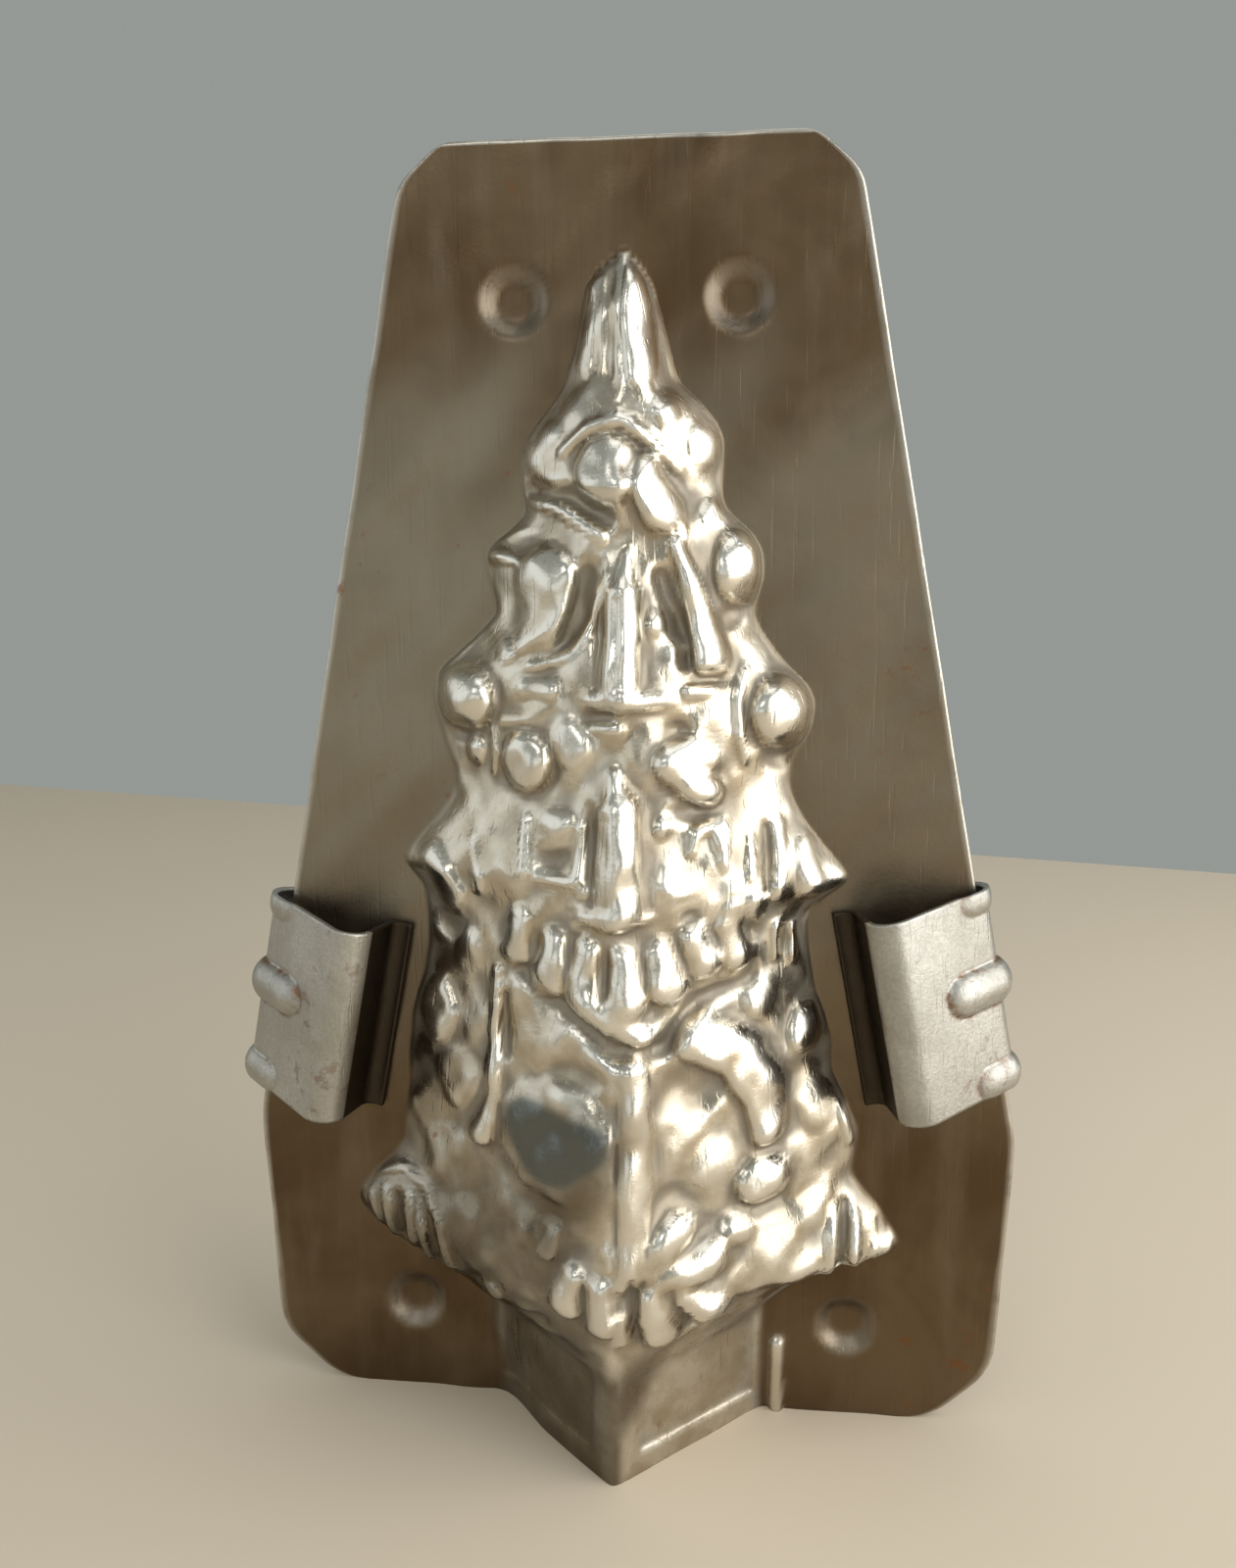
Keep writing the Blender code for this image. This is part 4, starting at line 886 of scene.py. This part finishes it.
def tin_material(groups):
    """Old tinplate: brown patina on the flange, bare metal on the relief, dark brown in its hollows, partly
    dirt and partly painted shade.
    """
    material, tree, shader, place = start_material("aged_tin", (0.30, 0.26, 0.20), 0.38)
    mottling = add_group(tree, groups["mottling"], {"Vector": place, "Size": 55.0})
    grain = add_group(tree, groups["grain"], {"Vector": place, "Fineness": 2200.0})
    specks = add_group(tree, groups["specks"], {"Vector": place, "Size": 380.0, "Amount": 0.42})
    hollow, raised = read_mask(tree, "hollow"), read_mask(tree, "raised")
    flange, wear_and_highlight = flange_finish(tree, mottling)
    bare, shade_and_tarnish = relief_finish(tree, mottling)
    metal = add_mix(tree, raised, flange, bare)

    # High spots are polished, unless they are tarnished or painted in shade
    clean = add_math(tree, "SUBTRACT", 1.0, scale_by(tree, shade_and_tarnish, 0.9))
    high = scale_by(tree, add_range(tree, hollow, -0.05, -0.55), raised)
    metal = add_mix(tree, scale_by(tree, scale_by(tree, high, clean), 0.8), metal, POLISHED_TIN)
    # painted reflection: a blue-grey patch low on the tree
    metal = add_mix(tree, read_mask(tree, "painted_reflection_patch"), metal, BLUE_GREY_REFLECTION)

    # Dark brown in the hollows, partly dirt and partly painted shade
    uneven = add_range(tree, mottling["Clouds"], 0.25, 0.7, 0.55, 1.0)
    deep = scale_by(tree, add_range(tree, hollow, 0.02, 0.55), uneven)
    dirt_and_shade = scale_by(tree, deep, raised)
    metal = add_mix(tree, scale_by(tree, dirt_and_shade, 0.72), metal, DIRT_AND_SHADE)
    metal = add_mix(tree, scale_by(tree, specks["Specks"], 0.6), metal, TIN_RUST)
    tree.links.new(metal, shader.inputs["Base Color"])

    rough = add_range(tree, raised, 0.0, 1.0, 0.42, 0.24)
    rough = add_math(tree, "ADD", rough, scale_by(tree, dirt_and_shade, 0.22))
    rough = add_math(tree, "SUBTRACT", rough, scale_by(tree, wear_and_highlight, 0.12))
    rough = add_math(tree, "ADD", rough, add_range(tree, mottling["Clouds"], 0.3, 0.7, -0.04, 0.06))
    tree.links.new(rough, shader.inputs["Roughness"])
    metallic = add_math(tree, "SUBTRACT", 1.0, scale_by(tree, dirt_and_shade, 0.45))
    tree.links.new(metallic, shader.inputs["Metallic"])
    height = add_math(tree, "ADD", grain["Grain"], scale_by(tree, grain["Scratches"], -0.8))
    height = add_math(tree, "ADD", height, scale_by(tree, mottling["Clouds"], 2.0))
    bump = add_node(tree, "ShaderNodeBump", {"Height": height, "Strength": 0.35, "Distance": 0.00006})
    tree.links.new(bump.outputs["Normal"], shader.inputs["Normal"])
    return material


def edge_material(groups):
    """Bare metal of a cut edge, painted bright, partly as bare steel and partly as a highlight."""
    material, tree, shader, place = start_material("cut_edge", (0.55, 0.53, 0.48), 0.32)
    mottling = add_group(tree, groups["mottling"], {"Vector": place, "Size": 90.0})
    wear_and_highlight = add_range(tree, mottling["Clouds"], 0.35, 0.6)
    # painted highlight: the rim is mixed towards bright bare metal
    tree.links.new(add_mix(tree, wear_and_highlight, DULL_EDGE, BRIGHT_EDGE_HIGHLIGHT), shader.inputs["Base Color"])
    tree.links.new(add_range(tree, mottling["Blotches"], 0.3, 0.7, 0.26, 0.42), shader.inputs["Roughness"])
    return material


def clip_material(groups):
    """Dull spring steel with a grainy skin, painted dark brown as shade inside its roll, and rusty at the
    beads.
    """
    material, tree, shader, place = start_material("clip_steel", (0.42, 0.41, 0.39), 0.42)
    mottling = add_group(tree, groups["mottling"], {"Vector": place, "Size": 120.0})
    grain = add_group(tree, groups["grain"], {"Vector": place, "Fineness": 2600.0})
    specks = add_group(tree, groups["specks"], {"Vector": place, "Size": 520.0, "Amount": 0.5})
    steel = add_mix(tree, add_range(tree, mottling["Blotches"], 0.3, 0.7), DULL_STEEL, PALE_STEEL)
    steel = add_mix(tree, add_range(tree, grain["Grain"], 0.35, 0.65, 0.0, 0.30), steel, STEEL_GRAIN)
    patchy = add_range(tree, mottling["Clouds"], 0.42, 0.62)
    rust = scale_by(tree, read_mask(tree, "crease"), patchy)
    rust = add_math(tree, "MAXIMUM", rust, scale_by(tree, specks["Specks"], 0.45))
    steel = add_mix(tree, add_math(tree, "MINIMUM", rust, 0.85), steel, STEEL_RUST)
    # painted shade: dark brown inside and behind the roll
    steel = add_mix(tree, scale_by(tree, read_mask(tree, "painted_roll_shade"), 0.95), steel, ROLL_SHADE_BROWN)
    tree.links.new(steel, shader.inputs["Base Color"])
    tree.links.new(add_range(tree, mottling["Clouds"], 0.3, 0.7, 0.36, 0.50), shader.inputs["Roughness"])
    height = add_math(tree, "ADD", grain["Grain"], scale_by(tree, grain["Scratches"], -0.6))
    bump = add_node(tree, "ShaderNodeBump", {"Height": height, "Strength": 0.5, "Distance": 0.00008})
    tree.links.new(bump.outputs["Normal"], shader.inputs["Normal"])
    return material


def plain_material(name, colour, roughness):
    """An even surface for the floor."""
    material, tree, shader, _ = start_material(name, colour, roughness)
    shader.inputs["Metallic"].default_value = 0.0
    return material


def lay_floor():
    """A wide pale floor under the mold. Its back edge runs a little slantwise behind it."""
    start, end = Vector(FLOOR_EDGE[0]), Vector(FLOOR_EDGE[1])
    along = (end - start).normalized()
    middle = start.lerp(end, 0.5) + Vector((along.y, -along.x)) * FLOOR_SIZE / 2.0
    place = (middle.x * MM, middle.y * MM, 0.0)
    turn = (0.0, 0.0, math.atan2(along.y, along.x))
    bpy.ops.mesh.primitive_plane_add(size=FLOOR_SIZE * MM, location=place, rotation=turn)
    floor = bpy.context.active_object
    floor.name = "floor"
    floor.data.materials.append(plain_material("pale_floor", FLOOR_COLOUR, 0.7))


def add_lamp(name, place, size, strength, colour):
    """A soft rectangular lamp that points at the mold. strength is its brightness as seen from the front."""
    data = bpy.data.lights.new(name, "AREA")
    data.shape = "RECTANGLE"
    data.size, data.size_y = size
    data.energy = strength * math.pi * size[0] * size[1]
    data.color = colour
    lamp = bpy.data.objects.new(name, data)
    lamp.location = place
    lamp.rotation_euler = (Vector(LAMP_TARGET) - Vector(place)).to_track_quat("-Z", "Y").to_euler()
    lamp.visible_camera = False
    bpy.context.scene.collection.objects.link(lamp)


def set_lights():
    """Plain soft studio light: soft boxes at the right, at the left, in front and above, and a low window."""
    for lamp in LAMPS:
        add_lamp(*lamp)
    world = bpy.data.worlds.new("studio")
    world.use_nodes = True
    background = world.node_tree.nodes["Background"]
    background.inputs["Color"].default_value = (*BACKDROP_COLOUR, 1.0)
    background.inputs["Strength"].default_value = 1.0
    bpy.context.scene.world = world


def set_camera():
    """The photograph's viewpoint."""
    data = bpy.data.cameras.new("camera")
    data.lens, data.sensor_width = CAMERA_LENS, SENSOR
    data.clip_start = 0.01
    camera = bpy.data.objects.new("camera", data)
    place, target = Vector(CAMERA_PLACE) * MM, Vector(CAMERA_TARGET) * MM
    turn = (target - place).to_track_quat("-Z", "Y").to_matrix().to_4x4()
    roll = Vector((0.0, 0.0, math.radians(CAMERA_ROLL)))
    camera.location = place
    camera.rotation_euler = turn.to_euler()
    camera.rotation_euler.rotate_axis("Z", roll.z)
    bpy.context.scene.collection.objects.link(camera)
    bpy.context.scene.camera = camera


def dress(piece, body, node):
    """Hands a finished piece to the frame."""
    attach(piece, body)
    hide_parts(node)


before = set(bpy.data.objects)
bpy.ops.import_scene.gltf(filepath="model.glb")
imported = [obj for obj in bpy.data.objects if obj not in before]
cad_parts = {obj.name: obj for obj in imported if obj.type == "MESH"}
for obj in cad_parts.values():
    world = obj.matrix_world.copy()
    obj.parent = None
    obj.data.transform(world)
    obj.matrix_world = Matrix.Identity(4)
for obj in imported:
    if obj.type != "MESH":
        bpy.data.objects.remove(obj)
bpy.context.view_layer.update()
bpy.ops.object.select_all(action="DESELECT")
bpy.context.scene.view_settings.view_transform = "Standard"

set_camera()
set_lights()
lay_floor()

groups = {"mottling": mottling_group(), "grain": grain_group(), "specks": specks_group()}
tin, cut_edge, clip_steel = tin_material(groups), edge_material(groups), clip_material(groups)

blank_x, blank_z = blank_points()
blank_hollow = hollow_mask(blank_x, blank_z)
for name, node, facing in (("front_sheet", "front_half", -1), ("back_sheet", "back_half", 1)):
    half = press_half(name, facing, blank_x, blank_z, blank_hollow)
    half.data.materials.append(tin)
    half.data.materials.append(cut_edge)
    give_wall(half, SHEET, -1.0, 1)
    dress(half, "mold", node)

for name, node, side, height, standoff in (
    ("left_spring", "left_clip", -1, LEFT_CLIP_HEIGHT, LEFT_CLIP_STANDOFF),
    ("right_spring", "right_clip", 1, RIGHT_CLIP_HEIGHT, 0.0),
):
    clip = bend_clip(name, side, height, standoff)
    clip.data.materials.append(clip_steel)
    give_wall(clip, CLIP_SHEET, 0.0, 0)
    dress(clip, node, node)
